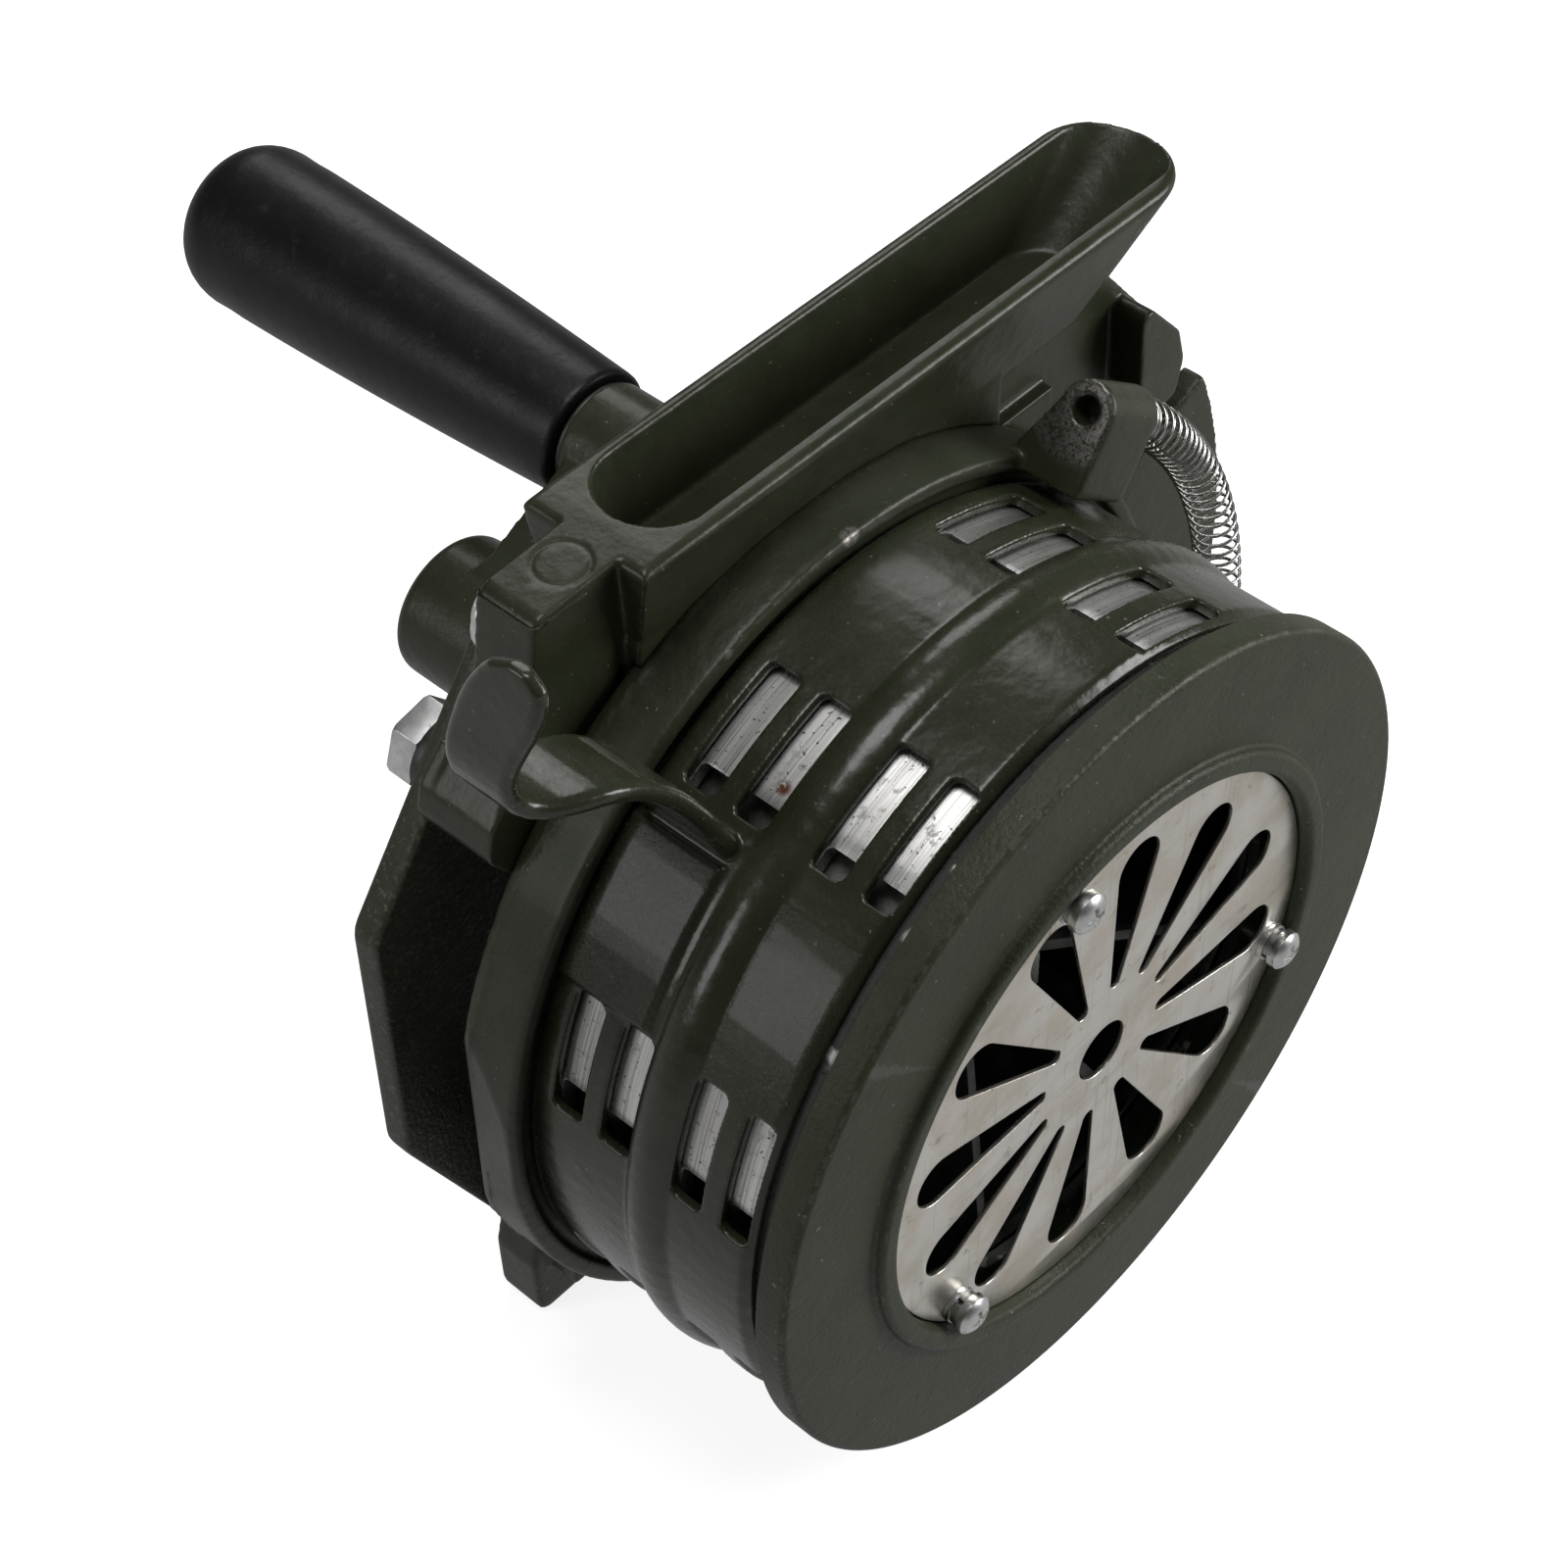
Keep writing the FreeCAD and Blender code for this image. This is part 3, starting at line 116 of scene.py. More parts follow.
class Finish(Nodes):
    """One material and the nodes that paint it. Lengths are in millimetres."""

    def __init__(self, name):
        self.material = bpy.data.materials.new(name)
        self.material.use_nodes = True
        super().__init__(self.material.node_tree)
        self.shader = self.tree.nodes["Principled BSDF"]
        metres = self.node("TexCoord", out=3)
        self.place = self.node("VectorMath", {"operation": "SCALE"}, {0: metres, 3: 1000.0})

    def surface(self, **sockets):
        self.fill(self.shader, {name.replace("_", " "): value for name, value in sockets.items()})
        return self.material

    def along(self, axis):
        return self.node("SeparateXYZ", None, {0: self.place}, "XYZ".index(axis))

    def bearing(self):
        """Degrees about the drum axis, from +X towards +Z."""
        x, z = self.along("X"), self.along("Z")
        return z.maths("ARCTAN2", z, x) * math.degrees(1)

    def radius(self):
        """Millimetres from the drum axis."""
        flat = self.node("CombineXYZ", None, {0: self.along("X"), 2: self.along("Z")})
        return self.node("VectorMath", {"operation": "LENGTH"}, {0: flat}, 1)

    def edges(self):
        """Above 0.5 on an outer edge and below it in a corner."""
        return self.node("NewGeometry", out=7)

    def noise(self, size, detail=2.0, rough=0.5, stretch=(1, 1, 1), shift=(0, 0, 0)):
        """Clouds between 0 and 1 whose lumps are about size millimetres."""
        spot = self.node("VectorMath", {"operation": "MULTIPLY_ADD"},
                         {0: self.place, 1: stretch, 2: shift})
        return self.node("TexNoise", None, {"Vector": spot, "Scale": 1.0 / size, "Detail": detail,
                                            "Roughness": rough})

    def ramp(self, value, low, high):
        """0 below low, 1 above high and smooth between them."""
        return self.node("MapRange", {"interpolation_type": "SMOOTHSTEP"},
                         {"Value": value, "From Min": low, "From Max": high})

    def near(self, centre, radius, soft):
        """1 within radius of a point, 0 outside, smooth over soft millimetres."""
        gap = self.node("VectorMath", {"operation": "DISTANCE"}, {0: self.place, 1: centre}, 1)
        return 1 - self.ramp(gap, radius - soft, radius + soft)

    def mix(self, share, first, second):
        return self.node("Mix", {"data_type": "RGBA"}, {0: share, 6: first, 7: second}, 2)

    def bump(self, height, distance, under=None):
        """A bump of height times distance millimetres, on top of another bump."""
        sockets = {"Height": height, "Distance": distance / 1000.0}
        if under is not None:
            sockets["Normal"] = under
        return self.node("Bump", None, sockets)


def olive_paint(name, grain=0.75, depth=0.10, rough=0.40, tint=1.0, grain_share=1.0, bare=None,
                sheen=0.10):
    """Satin olive paint on a sand casting. grain and depth are the size and
    height of the skin; grain_share says where the skin is rough; bare takes
    the finish and gives where the paint is gone."""
    dark = (0.031 * tint, 0.036 * tint, 0.0175 * tint)
    light = (0.042 * tint, 0.048 * tint, 0.026 * tint)
    pit, dust = (0.017, 0.019, 0.010), (0.080, 0.084, 0.060)
    # thin is the colour of worn paint on the edges, and it also serves as a painted edge highlight.
    thin, speck = (0.135, 0.135, 0.118), (0.30, 0.29, 0.26)
    paint = Finish(name)
    lumps = paint.noise(11.0, 3.0)
    fine = paint.noise(grain, 4.0, 0.62)
    waves = paint.noise(3.2, 2.0)
    dirt = paint.noise(1.5, 5.0, 0.68)
    shares = grain_share(paint) if callable(grain_share) else grain_share
    colour = paint.mix(paint.ramp(lumps, 0.32, 0.68), dark, light)
    colour = paint.mix(paint.ramp(fine, 0.30, 0.48) * -0.35 + 0.35, colour, pit)
    colour = paint.mix(paint.ramp(dirt, 0.60, 0.78) * 0.28, colour, dust)
    # Convex edges lightened: partly worn paint, partly a painted edge highlight.
    worn_and_highlit_edges = paint.ramp(paint.edges() + (dirt - 0.5) * 0.14, 0.565, 0.64) * 0.55
    colour = paint.mix(worn_and_highlit_edges, colour, thin)
    skin = paint.bump(waves, 0.16)
    skin = paint.bump(fine * shares, depth, skin)
    specks = paint.ramp(paint.noise(0.9, 1.0, shift=(7, 3, 1)), 0.765, 0.785)
    colour = paint.mix(specks * 0.6, colour, speck)
    shine = rough + (lumps - 0.5) * 0.07 + (fine - 0.5) * 0.20
    look = {"Base_Color": colour, "Roughness": shine, "Normal": skin, "Coat_Weight": sheen}
    if bare is not None:
        share, metal = bare(paint)
        look.update(Base_Color=paint.mix(share, colour, metal), Metallic=share * 0.9,
                    Roughness=shine - share * 0.06, Coat_Weight=sheen * (1 - share))
    return paint.surface(**look, Coat_Roughness=0.14, Specular_IOR_Level=0.36)


def finished(piece, material, body, node):
    """Gives a piece its material, hides its node's CAD part, and ties it to its body if it has one."""
    piece.data.materials.clear()
    piece.data.materials.append(material)
    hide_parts(node)
    if body:
        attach(piece, body)


def placed(name, mesh, crease=None):
    """A smooth piece, sharp where it turns by more than crease degrees."""
    mesh.name = name
    for face in mesh.polygons:
        face.use_smooth = True
    if crease:
        mesh.set_sharp_from_angle(angle=math.radians(crease))
    piece = bpy.data.objects.new(name, mesh)
    scene.collection.objects.link(piece)
    return piece


def soft_corners(points, rounds, steps=6):
    """A closed outline with each corner rounded to its own radius."""
    outline = []
    count = len(points)
    for i in range(count):
        corner = Vector(points[i])
        before = Vector(points[i - 1]) - corner
        after = Vector(points[(i + 1) % count]) - corner
        if rounds[i] <= 0:
            outline.append(tuple(corner))
            continue
        half = before.angle(after) / 2
        before.normalize()
        after.normalize()
        reach = rounds[i] / math.tan(half)
        middle = corner + (before + after).normalized() * (rounds[i] / math.sin(half))
        first = corner + before * reach - middle
        last = corner + after * reach - middle
        sweep = first.angle_signed(last)
        for k in range(steps + 1):
            spoke = first.copy()
            spoke.rotate(Matrix.Rotation(-sweep * k / steps, 2))
            outline.append(tuple(middle + spoke))
    return outline


def lathe(name, outline, centre=(0, 0), steps=256, crease=35):
    """A turned piece: a closed outline of radius and Y in millimetres."""
    rows = []
    mesh = bpy.data.meshes.new(name)
    built = bmesh.new()
    for radius, y in outline:
        if radius < 1e-6:
            rows.append([built.verts.new((centre[0] / 1000, y / 1000, centre[1] / 1000))] * steps)
            continue
        ring = []
        for i in range(steps):
            angle = 2 * math.pi * i / steps
            ring.append(built.verts.new(((centre[0] + radius * math.cos(angle)) / 1000, y / 1000,
                                         (centre[1] + radius * math.sin(angle)) / 1000)))
        rows.append(ring)
    for k in range(len(rows)):
        low, high = rows[k - 1], rows[k]
        for i in range(steps):
            j = (i + 1) % steps
            corners = []
            for vertex in (low[i], low[j], high[j], high[i]):
                if vertex not in corners:
                    corners.append(vertex)
            if len(corners) > 2:
                built.faces.new(corners)
    bmesh.ops.recalc_face_normals(built, faces=built.faces)
    built.to_mesh(mesh)
    built.free()
    return placed(name, mesh, crease)


intake_r, collar_in_r, collar_out_r, collar_foot_r, cover_r = 46.5, 50.9, 54.6, 55.2, 75.0
seat_y, collar_y, cover_y, drum_y = -3.9, -7.2, -5.5, 0.0
cover_outline = soft_corners(
    ((intake_r, seat_y), (collar_in_r, seat_y), (collar_in_r, collar_y), (collar_out_r, collar_y),
     (collar_foot_r, cover_y), (cover_r, cover_y), (cover_r, drum_y), (intake_r, drum_y)),
    (0.3, 0.3, 1.3, 1.3, 0.9, 1.2, 0.2, 0.2), 8)
cover = lathe("cover", cover_outline, steps=360)


def cover_edge(paint):
    """Where the cover's outer edge has lost its paint."""
    front = paint.ramp(paint.along("Y"), cover_y + 1.1, cover_y + 0.3)
    broken = paint.noise(2.4, 3.0, 0.6)
    rim = paint.ramp(paint.radius(), cover_r - 0.65, cover_r - 0.25) * front
    rim = rim * paint.ramp(broken, 0.50, 0.58)
    chips = paint.ramp(paint.noise(1.7, 2.0, shift=(3, 9, 5)), 0.725, 0.75)
    return (rim * 0.2).highest(chips * 0.7), (0.30, 0.295, 0.28)


cover_paint = olive_paint("cover paint", grain=0.85, depth=0.20, rough=0.42, tint=1.2,
                          bare=cover_edge, sheen=0.0)
finished(cover, cover_paint, "housing", "front_cover")


# Intake grille: thin stainless sheet with twelve tear-drop openings round a
# small hole, held in the cover's collar by three screws. It is cut as one flat
# outline and brushed, and now scratched and stained brown by grease and damp.
def circle(radius, steps, centre=(0, 0)):
    return [(centre[0] + radius * math.cos(2 * math.pi * i / steps),
             centre[1] + radius * math.sin(2 * math.pi * i / steps)) for i in range(steps)]


def applied(piece):
    """The mesh of a piece, with its modifiers applied."""
    return bpy.data.meshes.new_from_object(piece.evaluated_get(bpy.context.evaluated_depsgraph_get()))


def sheet_metal(name, outlines, front, thick, edge):
    """A flat sheet across the drum axis: the first outline is its rim and the
    others are its openings. Points are X and Z in millimetres."""
    curve = bpy.data.curves.new(name, "CURVE")
    curve.dimensions = "2D"
    curve.fill_mode = "BOTH"
    curve.extrude = (thick / 2 - edge) / 1000
    curve.bevel_depth = edge / 1000
    curve.bevel_resolution = 2
    curve.offset = -edge / 1000
    for outline in outlines:
        line = curve.splines.new("POLY")
        line.points.add(len(outline) - 1)
        for point, (x, z) in zip(line.points, outline):
            point.co = (x / 1000, z / 1000, 0, 1)
        line.use_cyclic_u = True
    rough = bpy.data.objects.new(name + " outline", curve)
    scene.collection.objects.link(rough)
    mesh = applied(rough)
    bpy.data.objects.remove(rough)
    upright = Matrix.Rotation(math.radians(90), 4, "X")
    mesh.transform(Matrix.Translation((0, (front + thick / 2) / 1000, 0)) @ upright)
    welded = bmesh.new()
    welded.from_mesh(mesh)
    bmesh.ops.remove_doubles(welded, verts=welded.verts, dist=2e-6)
    bmesh.ops.recalc_face_normals(welded, faces=welded.faces)
    welded.to_mesh(mesh)
    welded.free()
    return placed(name, mesh, 40)


def tear_drop(deg, near=14.0, far=44.6, tip=1.3, belly=4.9):
    """One opening of the grille, from its tip near the centre to its belly."""
    x0, x1 = near + tip, far - belly
    lean = math.asin((belly - tip) / (x1 - x0))
    outline = []
    for k in range(13):
        angle = math.pi / 2 + lean + (math.pi - 2 * lean) * k / 12
        outline.append((x0 + tip * math.cos(angle), tip * math.sin(angle)))
    for k in range(21):
        angle = -math.pi / 2 - lean + (math.pi + 2 * lean) * k / 20
        outline.append((x1 + belly * math.cos(angle), belly * math.sin(angle)))
    c, s = math.cos(math.radians(deg)), math.sin(math.radians(deg))
    return [(x * c - z * s, x * s + z * c) for x, z in outline]


grille_r, grille_front, grille_thick, grille_edge = 50.6, -4.7, 0.8, 0.16
centre_hole_r = 5.5
opening_count, first_opening = 12, 22
screw_ring_r, screw_hole_r, screw_degrees = 47.0, 1.85, (104, 224, 344)
screw_spots = [(screw_ring_r * math.cos(math.radians(deg)), screw_ring_r * math.sin(math.radians(deg)))
               for deg in screw_degrees]
outlines = [circle(grille_r, 240), circle(centre_hole_r, 64)]
outlines += [tear_drop(first_opening + 360 / opening_count * i) for i in range(opening_count)]
outlines += [circle(screw_hole_r, 24, spot) for spot in screw_spots]
grille = sheet_metal("grille", outlines, grille_front, grille_thick, grille_edge)


def stained_sheet():
    """Brushed stainless sheet with brown stains and fine scratches."""
    sheet = Finish("stained sheet")
    clouds = sheet.noise(13.0, 5.0, 0.62)
    spots = sheet.noise(3.4, 5.0, 0.66, shift=(4, 4, 9))
    fine = sheet.noise(0.5, 3.0, 0.6)
    colour = sheet.mix(sheet.ramp(clouds, 0.38, 0.66), (0.93, 0.90, 0.84), (0.78, 0.72, 0.62))
    colour = sheet.mix(sheet.ramp(spots, 0.60, 0.70) * 0.6, colour, (0.34, 0.27, 0.19))
    colour = sheet.mix(sheet.ramp(spots, 0.34, 0.27) * 0.5, colour, (0.97, 0.95, 0.91))
    upright = sheet.ramp(sheet.noise(0.7, 1.0, 0.5, (1.0, 1.0, 0.03)), 0.66, 0.70)
    scores = upright.highest(sheet.ramp(sheet.noise(0.8, 1.0, 0.5, (0.04, 1.0, 1.0)), 0.67, 0.71))
    colour = sheet.mix(scores * 0.3, colour, (0.55, 0.52, 0.47))
    skin = sheet.bump(fine, 0.012)
    skin = sheet.bump(scores, -0.02, skin)
    return sheet.surface(Base_Color=colour, Metallic=1.0 - sheet.ramp(spots, 0.60, 0.72) * 0.5,
                         Roughness=0.27 + sheet.ramp(clouds, 0.4, 0.7) * 0.16 + fine * 0.08,
                         Normal=skin)


finished(grille, stained_sheet(), "housing", "intake_grille")


# Small screws, nuts and washers: bright zinc plate over machined steel, with
# painted shade darkening the recesses. Each copy of the solid has its edges
# broken by a fine bevel.
def joined_solid(name, node, flat_angle=None):
    """A rough object of a node's solid, with its facets joined at their points
    and, where flat_angle is given, merged where they are flat."""
    mesh = bpy.data.meshes.new(name + " rough")
    welded = bmesh.new()
    welded.from_mesh(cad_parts[node].data)
    bmesh.ops.remove_doubles(welded, verts=welded.verts, dist=1e-6)
    if flat_angle:
        bmesh.ops.dissolve_limit(welded, angle_limit=flat_angle, verts=welded.verts, edges=welded.edges)
    welded.to_mesh(mesh)
    welded.free()
    rough = bpy.data.objects.new(name + " rough", mesh)
    scene.collection.objects.link(rough)
    return rough


def machined(name, node, bevel, crease=30):
    """A clean machined piece: the solid of a node with a fine bevelled edge."""
    rough = joined_solid(name, node, math.radians(0.5))
    if bevel:
        soft = rough.modifiers.new("edges", "BEVEL")
        soft.width = bevel / 1000
        soft.segments = 2
        soft.limit_method = "ANGLE"
        soft.angle_limit = math.radians(crease)
        soft.use_clamp_overlap = True
    final = applied(rough)
    bpy.data.objects.remove(rough)
    return placed(name, final, crease)


def zinc_plate(name, rough=0.30, tint=1.0):
    plate = Finish(name)
    clouds = plate.noise(2.2, 4.0, 0.6)
    fine = plate.noise(0.35, 3.0, 0.6)
    grime = plate.ramp(plate.noise(0.9, 4.0, 0.65, shift=(2, 5, 8)), 0.58, 0.72)
    colour = plate.mix(plate.ramp(clouds, 0.35, 0.65), (0.68 * tint, 0.69 * tint, 0.69 * tint),
                       (0.84 * tint, 0.84 * tint, 0.82 * tint))
    colour = plate.mix(grime * 0.6, colour, (0.12, 0.11, 0.095))
    # Inner corners and recesses darkened almost to black: painted shade.
    corners = plate.ramp(plate.edges(), 0.44, 0.36)
    colour = plate.mix(corners * 0.8, colour, (0.05, 0.048, 0.042))
    return plate.surface(Base_Color=colour, Metallic=1.0 - grime * 0.35,
                         Roughness=rough + grime * 0.2 + fine * 0.1, Normal=plate.bump(fine, 0.015))


zinc = zinc_plate("zinc plate")
dull_zinc = zinc_plate("dull zinc plate", rough=0.42, tint=0.62)
for name, node, body, bevel, plating in (
        ("grille_fixings", "grille_screws", "housing", 0.12, zinc),
        ("cover_fixings", "cover_screws", "housing", 0.12, zinc),
        ("drum_fixings", "drum_screws", "housing", 0.12, zinc),
        ("strap_fixing", "strap_screw", "housing", 0.12, zinc),
        ("rotor_disc_washer", "rotor_washer", "rotor", 0.12, zinc),
        ("rotor_lock_nut", "rotor_nut", "rotor", 0.12, zinc),
        ("crank_fixing", "crank_screw", "crank", 0.12, zinc),
        ("strap_disc", "strap_washer", "housing", 0.12, zinc),
        ("grille_collars", "grille_spacers", "housing", 0.12, zinc),
        ("rear_bolts", "plate_bolts", "housing", 0.3, zinc),
        ("grille_spring_rings", "grille_spring_washers", "housing", 0.1, dull_zinc)):
    finished(machined(name, node, bevel), plating, body, node)


# Bolt washers, shafts, gears and bearings: plain machined steel, oiled, grey.
# They sit inside the gear case or under the bolt heads.
def oiled_steel(name, base=0.34, rough=0.34):
    steel = Finish(name)
    clouds = steel.noise(4.0, 4.0, 0.6)
    lines = steel.noise(0.22, 2.0, 0.5, (1.0, 0.08, 1.0))
    oil = steel.ramp(steel.noise(6.0, 3.0, 0.6, shift=(9, 2, 4)), 0.45, 0.65)
    colour = steel.mix(steel.ramp(clouds, 0.35, 0.65), (base * 0.82, base * 0.82, base * 0.80),
                       (base, base, base))
    colour = steel.mix(oil * 0.35, colour, (0.10, 0.085, 0.06))
    return steel.surface(Base_Color=colour, Metallic=1.0,
                         Roughness=rough + (clouds - 0.5) * 0.2 + lines * 0.08,
                         Normal=steel.bump(lines, 0.01), Coat_Weight=oil * 0.25, Coat_Roughness=0.15)


steel = oiled_steel("oiled steel")
dark_steel = oiled_steel("dark spring steel", base=0.10, rough=0.45)
for name, node, body, bevel, finish_of in (
        ("bolt_spring_rings", "plate_bolt_washers", "housing", 0.12, dark_steel),
        ("grip_thrust_washer", "grip_washer", "crank", 0.12, dark_steel),
        ("front_bearing", "rotor_bearing_front", "housing", 0.2, steel),
        ("rear_bearing", "rotor_bearing_rear", "housing", 0.2, steel),
        ("idler_axle", "idler_pin", "housing", 0.2, steel),
        ("rotor_spindle", "rotor_shaft", "rotor", 0.2, steel),
        ("rotor_gear", "rotor_pinion", "rotor", 0.0, steel),
        ("idler_gear", "idler_wheel", "idler", 0.0, steel),
        ("idler_small_gear", "idler_pinion", "idler", 0.0, steel),
        ("crank_gear", "crank_wheel", "crank", 0.0, steel),
        ("crank_spindle", "crank_shaft", "crank", 0.2, steel),
        ("grip_axle", "grip_spindle", "crank", 0.2, steel)):
    finished(machined(name, node, bevel), finish_of, body, node)


# Crank bush: a turned bearing bronze bush in the rear plate, its flange shows
# behind the crank's hub as a thin brown ring.
bronze = Finish("bearing bronze")
tarnish = bronze.noise(2.0, 4.0, 0.6)
turning = bronze.noise(0.2, 2.0, 0.5, (1.0, 0.1, 1.0))
bronze_colour = bronze.mix(bronze.ramp(tarnish, 0.4, 0.65), (0.42, 0.26, 0.11), (0.25, 0.15, 0.07))
bronze.surface(Base_Color=bronze_colour, Metallic=1.0, Roughness=0.30 + tarnish * 0.2,
               Normal=bronze.bump(turning, 0.01))
finished(machined("bush", "crank_bush", 0.15), bronze.material, "housing", "crank_bush")


# Drum: bare turned aluminium, screwed to the cover. Its lathe lines show bright
# through the sleeve's slots, with black specks, dull patches, one rust spot and
# a dark ragged strip along its front, next to the cover.
def turned_aluminium():
    metal = Finish("turned aluminium")
    lines = metal.noise(0.30, 2.0, 0.6, (0.01, 1.0, 0.01))
    bands = metal.noise(1.1, 2.0, 0.5, (0.015, 1.0, 0.015))
    clouds = metal.noise(4.0, 4.0, 0.6)
    specks = metal.ramp(metal.noise(0.75, 2.0, 0.55, shift=(5, 1, 3)), 0.655, 0.70)
    patches = metal.ramp(metal.noise(2.6, 4.0, 0.65, shift=(1, 8, 2)), 0.57, 0.66)
    rust_spot, rust_r = (-33.9, 30.8, 62.3), 1.1
    rust = metal.near(rust_spot, rust_r, 0.7) * metal.ramp(metal.noise(0.8, 3.0), 0.35, 0.5)
    colour = metal.mix(metal.ramp(bands, 0.35, 0.65), (0.72, 0.71, 0.69), (0.88, 0.875, 0.86))
    colour = metal.mix(metal.ramp(lines, 0.50, 0.36) * 0.55, colour, (0.26, 0.25, 0.23))
    colour = metal.mix(patches * 0.5, colour, (0.36, 0.35, 0.32))
    colour = metal.mix(specks * 0.9, colour, (0.03, 0.03, 0.026))
    colour = metal.mix(rust, colour, (0.16, 0.055, 0.02))
    # The drum is darkened almost to black along its front, next to the cover.
    dark_front_strip = metal.ramp(metal.along("Y"), 4.2, 3.3)
    dark_front_strip = dark_front_strip * metal.ramp(metal.noise(9.0, 3.0, 0.6, shift=(6, 6, 1)), 0.66, 0.58)
    colour = metal.mix(dark_front_strip * 0.94, colour, (0.020, 0.020, 0.015))
    dull = specks.highest(rust).highest(dark_front_strip)
    skin = metal.bump(lines, 0.03)
    skin = metal.bump(specks, -0.05, skin)
    return metal.surface(Base_Color=colour, Metallic=1.0 - dull * 0.8, Normal=skin,
                         Roughness=0.40 + clouds * 0.10 + patches * 0.15 + dull * 0.3)


finished(machined("drum", "stator_drum", 0.15), turned_aluminium(), "housing",
         "stator_drum")


# Rotor: a rough aluminium casting, grey and dusty, seen only as faint vanes
# behind the grille and through the ports. Its rim is turned.
rotor_skin = Finish("rotor casting")
clouds = rotor_skin.noise(5.0, 4.0, 0.6)
pores = rotor_skin.noise(0.6, 3.0, 0.6)
rotor_grey = rotor_skin.mix(rotor_skin.ramp(clouds, 0.35, 0.65), (0.16, 0.16, 0.155), (0.25, 0.25, 0.24))
rotor_skin.surface(Base_Color=rotor_grey, Metallic=0.9, Roughness=0.42 + clouds * 0.15,
                   Normal=rotor_skin.bump(pores, 0.06))
finished(machined("rotor_wheel", "rotor", 0.3), rotor_skin.material, "rotor", "rotor")


# Shutter sleeve: one aluminium casting with its rib, slots, pad, thumb lever
# and spring lug. Glossy olive paint where hands polish it, a coarse pitted skin
# beside the rib on the left, and a rough pad behind it. It turns on the drum.
def cast(name, node, voxel, passes=5, keep=0.4, shaped=None):
    """A casting: the node's solid with its edges and inner corners rounded as
    a mould leaves them. voxel is the smallest detail, in millimetres, passes
    says how soft it is, keep is the share of faces left at the end, and shaped
    moves each point a little."""
    rough = joined_solid(name, node)
    remesh = rough.modifiers.new("remesh", "REMESH")
    remesh.mode = "VOXEL"
    remesh.voxel_size = voxel / 1000
    smooth = rough.modifiers.new("smooth", "SMOOTH")
    smooth.factor = 0.5
    smooth.iterations = passes
    soft = applied(rough)
    rough.modifiers.clear()
    if shaped:
        for vertex in soft.vertices:
            vertex.co = shaped(vertex.co * 1000) / 1000
    rough.data = soft
    thin = rough.modifiers.new("thin", "DECIMATE")
    thin.ratio = keep
    final = applied(rough)
    bpy.data.objects.remove(rough)
    return placed(name, final)


def sleeve_skin(paint):
    """Where the sleeve's skin is coarse: beside the rib on the left, and on the pad."""
    patch_low, patch_high, patch_y = 128.8, 158.0, 19.8
    pad_low, pad_high, pad_y, pad_r = 130.0, 151.5, 30.0, 76.0
    deg = paint.bearing()
    y = paint.along("Y")
    ragged = (paint.noise(3.0, 3.0, 0.6, shift=(2, 2, 2)) - 0.5) * 5.0
    patch = paint.ramp(deg, patch_low, patch_low + 0.8)
    patch = patch * paint.ramp(deg + ragged, patch_high, patch_high - 16.0)
    patch = patch * paint.ramp(y, patch_y, patch_y - 1.0)
    pad = paint.ramp(deg, pad_low, pad_low + 1.0) * paint.ramp(deg, pad_high, pad_high - 1.0)
    pad = pad * paint.ramp(y, pad_y, pad_y + 1.0) * paint.ramp(paint.radius(), pad_r, pad_r - 1.0)
    return 0.12 + patch.highest(pad) * 0.95


def sleeve_wear(paint):
    """Chips down to bare metal on the sleeve's front edge and slots."""
    chips = paint.ramp(paint.noise(1.3, 2.0, shift=(6, 1, 9)), 0.755, 0.775)
    rim = paint.ramp(paint.edges() + (paint.noise(0.9, 3.0) - 0.5) * 0.2, 0.66, 0.70)
    return (chips * 0.5).highest(rim * 0.4), (0.32, 0.31, 0.29)


sleeve_paint = olive_paint("sleeve paint", grain=0.62, depth=0.20, rough=0.27, tint=0.9,
                           grain_share=sleeve_skin, bare=sleeve_wear, sheen=0.3)
finished(cast("sleeve", "shutter_sleeve", 0.38), sleeve_paint, "shutter", "shutter_sleeve")


# Return spring: bright plated wire, 0.64 mm thick, wound 8.4 mm wide and bent
# round the drum between two lugs. Its ends are closed and its coils lie a little
# closer near the housing's lug.
def coil(name, sweep_r, along_y, deg_low, deg_high, coil_r, wire_r, sides=8, per_turn=28):
    """A coil round an arc about the drum axis, as one wire swept along its path."""
    open_pitch, closed_pitch = 3.0, 0.8
    tight_at, tight_over, tighter = 19.0, 8.0, 0.8
    length = math.radians(deg_high - deg_low) * sweep_r
    spots = []
    walked, phase = 0.0, 0.0
    while walked < length:
        from_ends = min(walked, length - walked)
        pitch = open_pitch - tighter * math.exp(-((walked - tight_at) / tight_over) ** 2)
        pitch = min(pitch, closed_pitch + max(0.0, from_ends - closed_pitch) * 0.9)
        angle = math.radians(deg_high) - walked / sweep_r
        radius = sweep_r + coil_r * math.cos(phase)
        spots.append(Vector((radius * math.cos(angle), along_y + coil_r * math.sin(phase),
                             radius * math.sin(angle))) / 1000)
        phase += 2 * math.pi / per_turn
        walked += pitch / per_turn
    built = bmesh.new()
    rings = []
    for i, spot in enumerate(spots):
        ahead = (spots[min(i + 1, len(spots) - 1)] - spots[max(i - 1, 0)]).normalized()
        side = ahead.cross(Vector((0, 1, 0))).normalized()
        top = side.cross(ahead)
        rings.append([built.verts.new(spot + (side * math.cos(2 * math.pi * k / sides)
                                              + top * math.sin(2 * math.pi * k / sides)) * wire_r / 1000)
                      for k in range(sides)])
    for low, high in zip(rings, rings[1:]):
        for k in range(sides):
            built.faces.new((low[k], low[(k + 1) % sides], high[(k + 1) % sides], high[k]))
    built.faces.new(reversed(rings[0]))
    built.faces.new(rings[-1])
    bmesh.ops.recalc_face_normals(built, faces=built.faces)
    mesh = bpy.data.meshes.new(name)
    built.to_mesh(mesh)
    built.free()
    return placed(name, mesh)


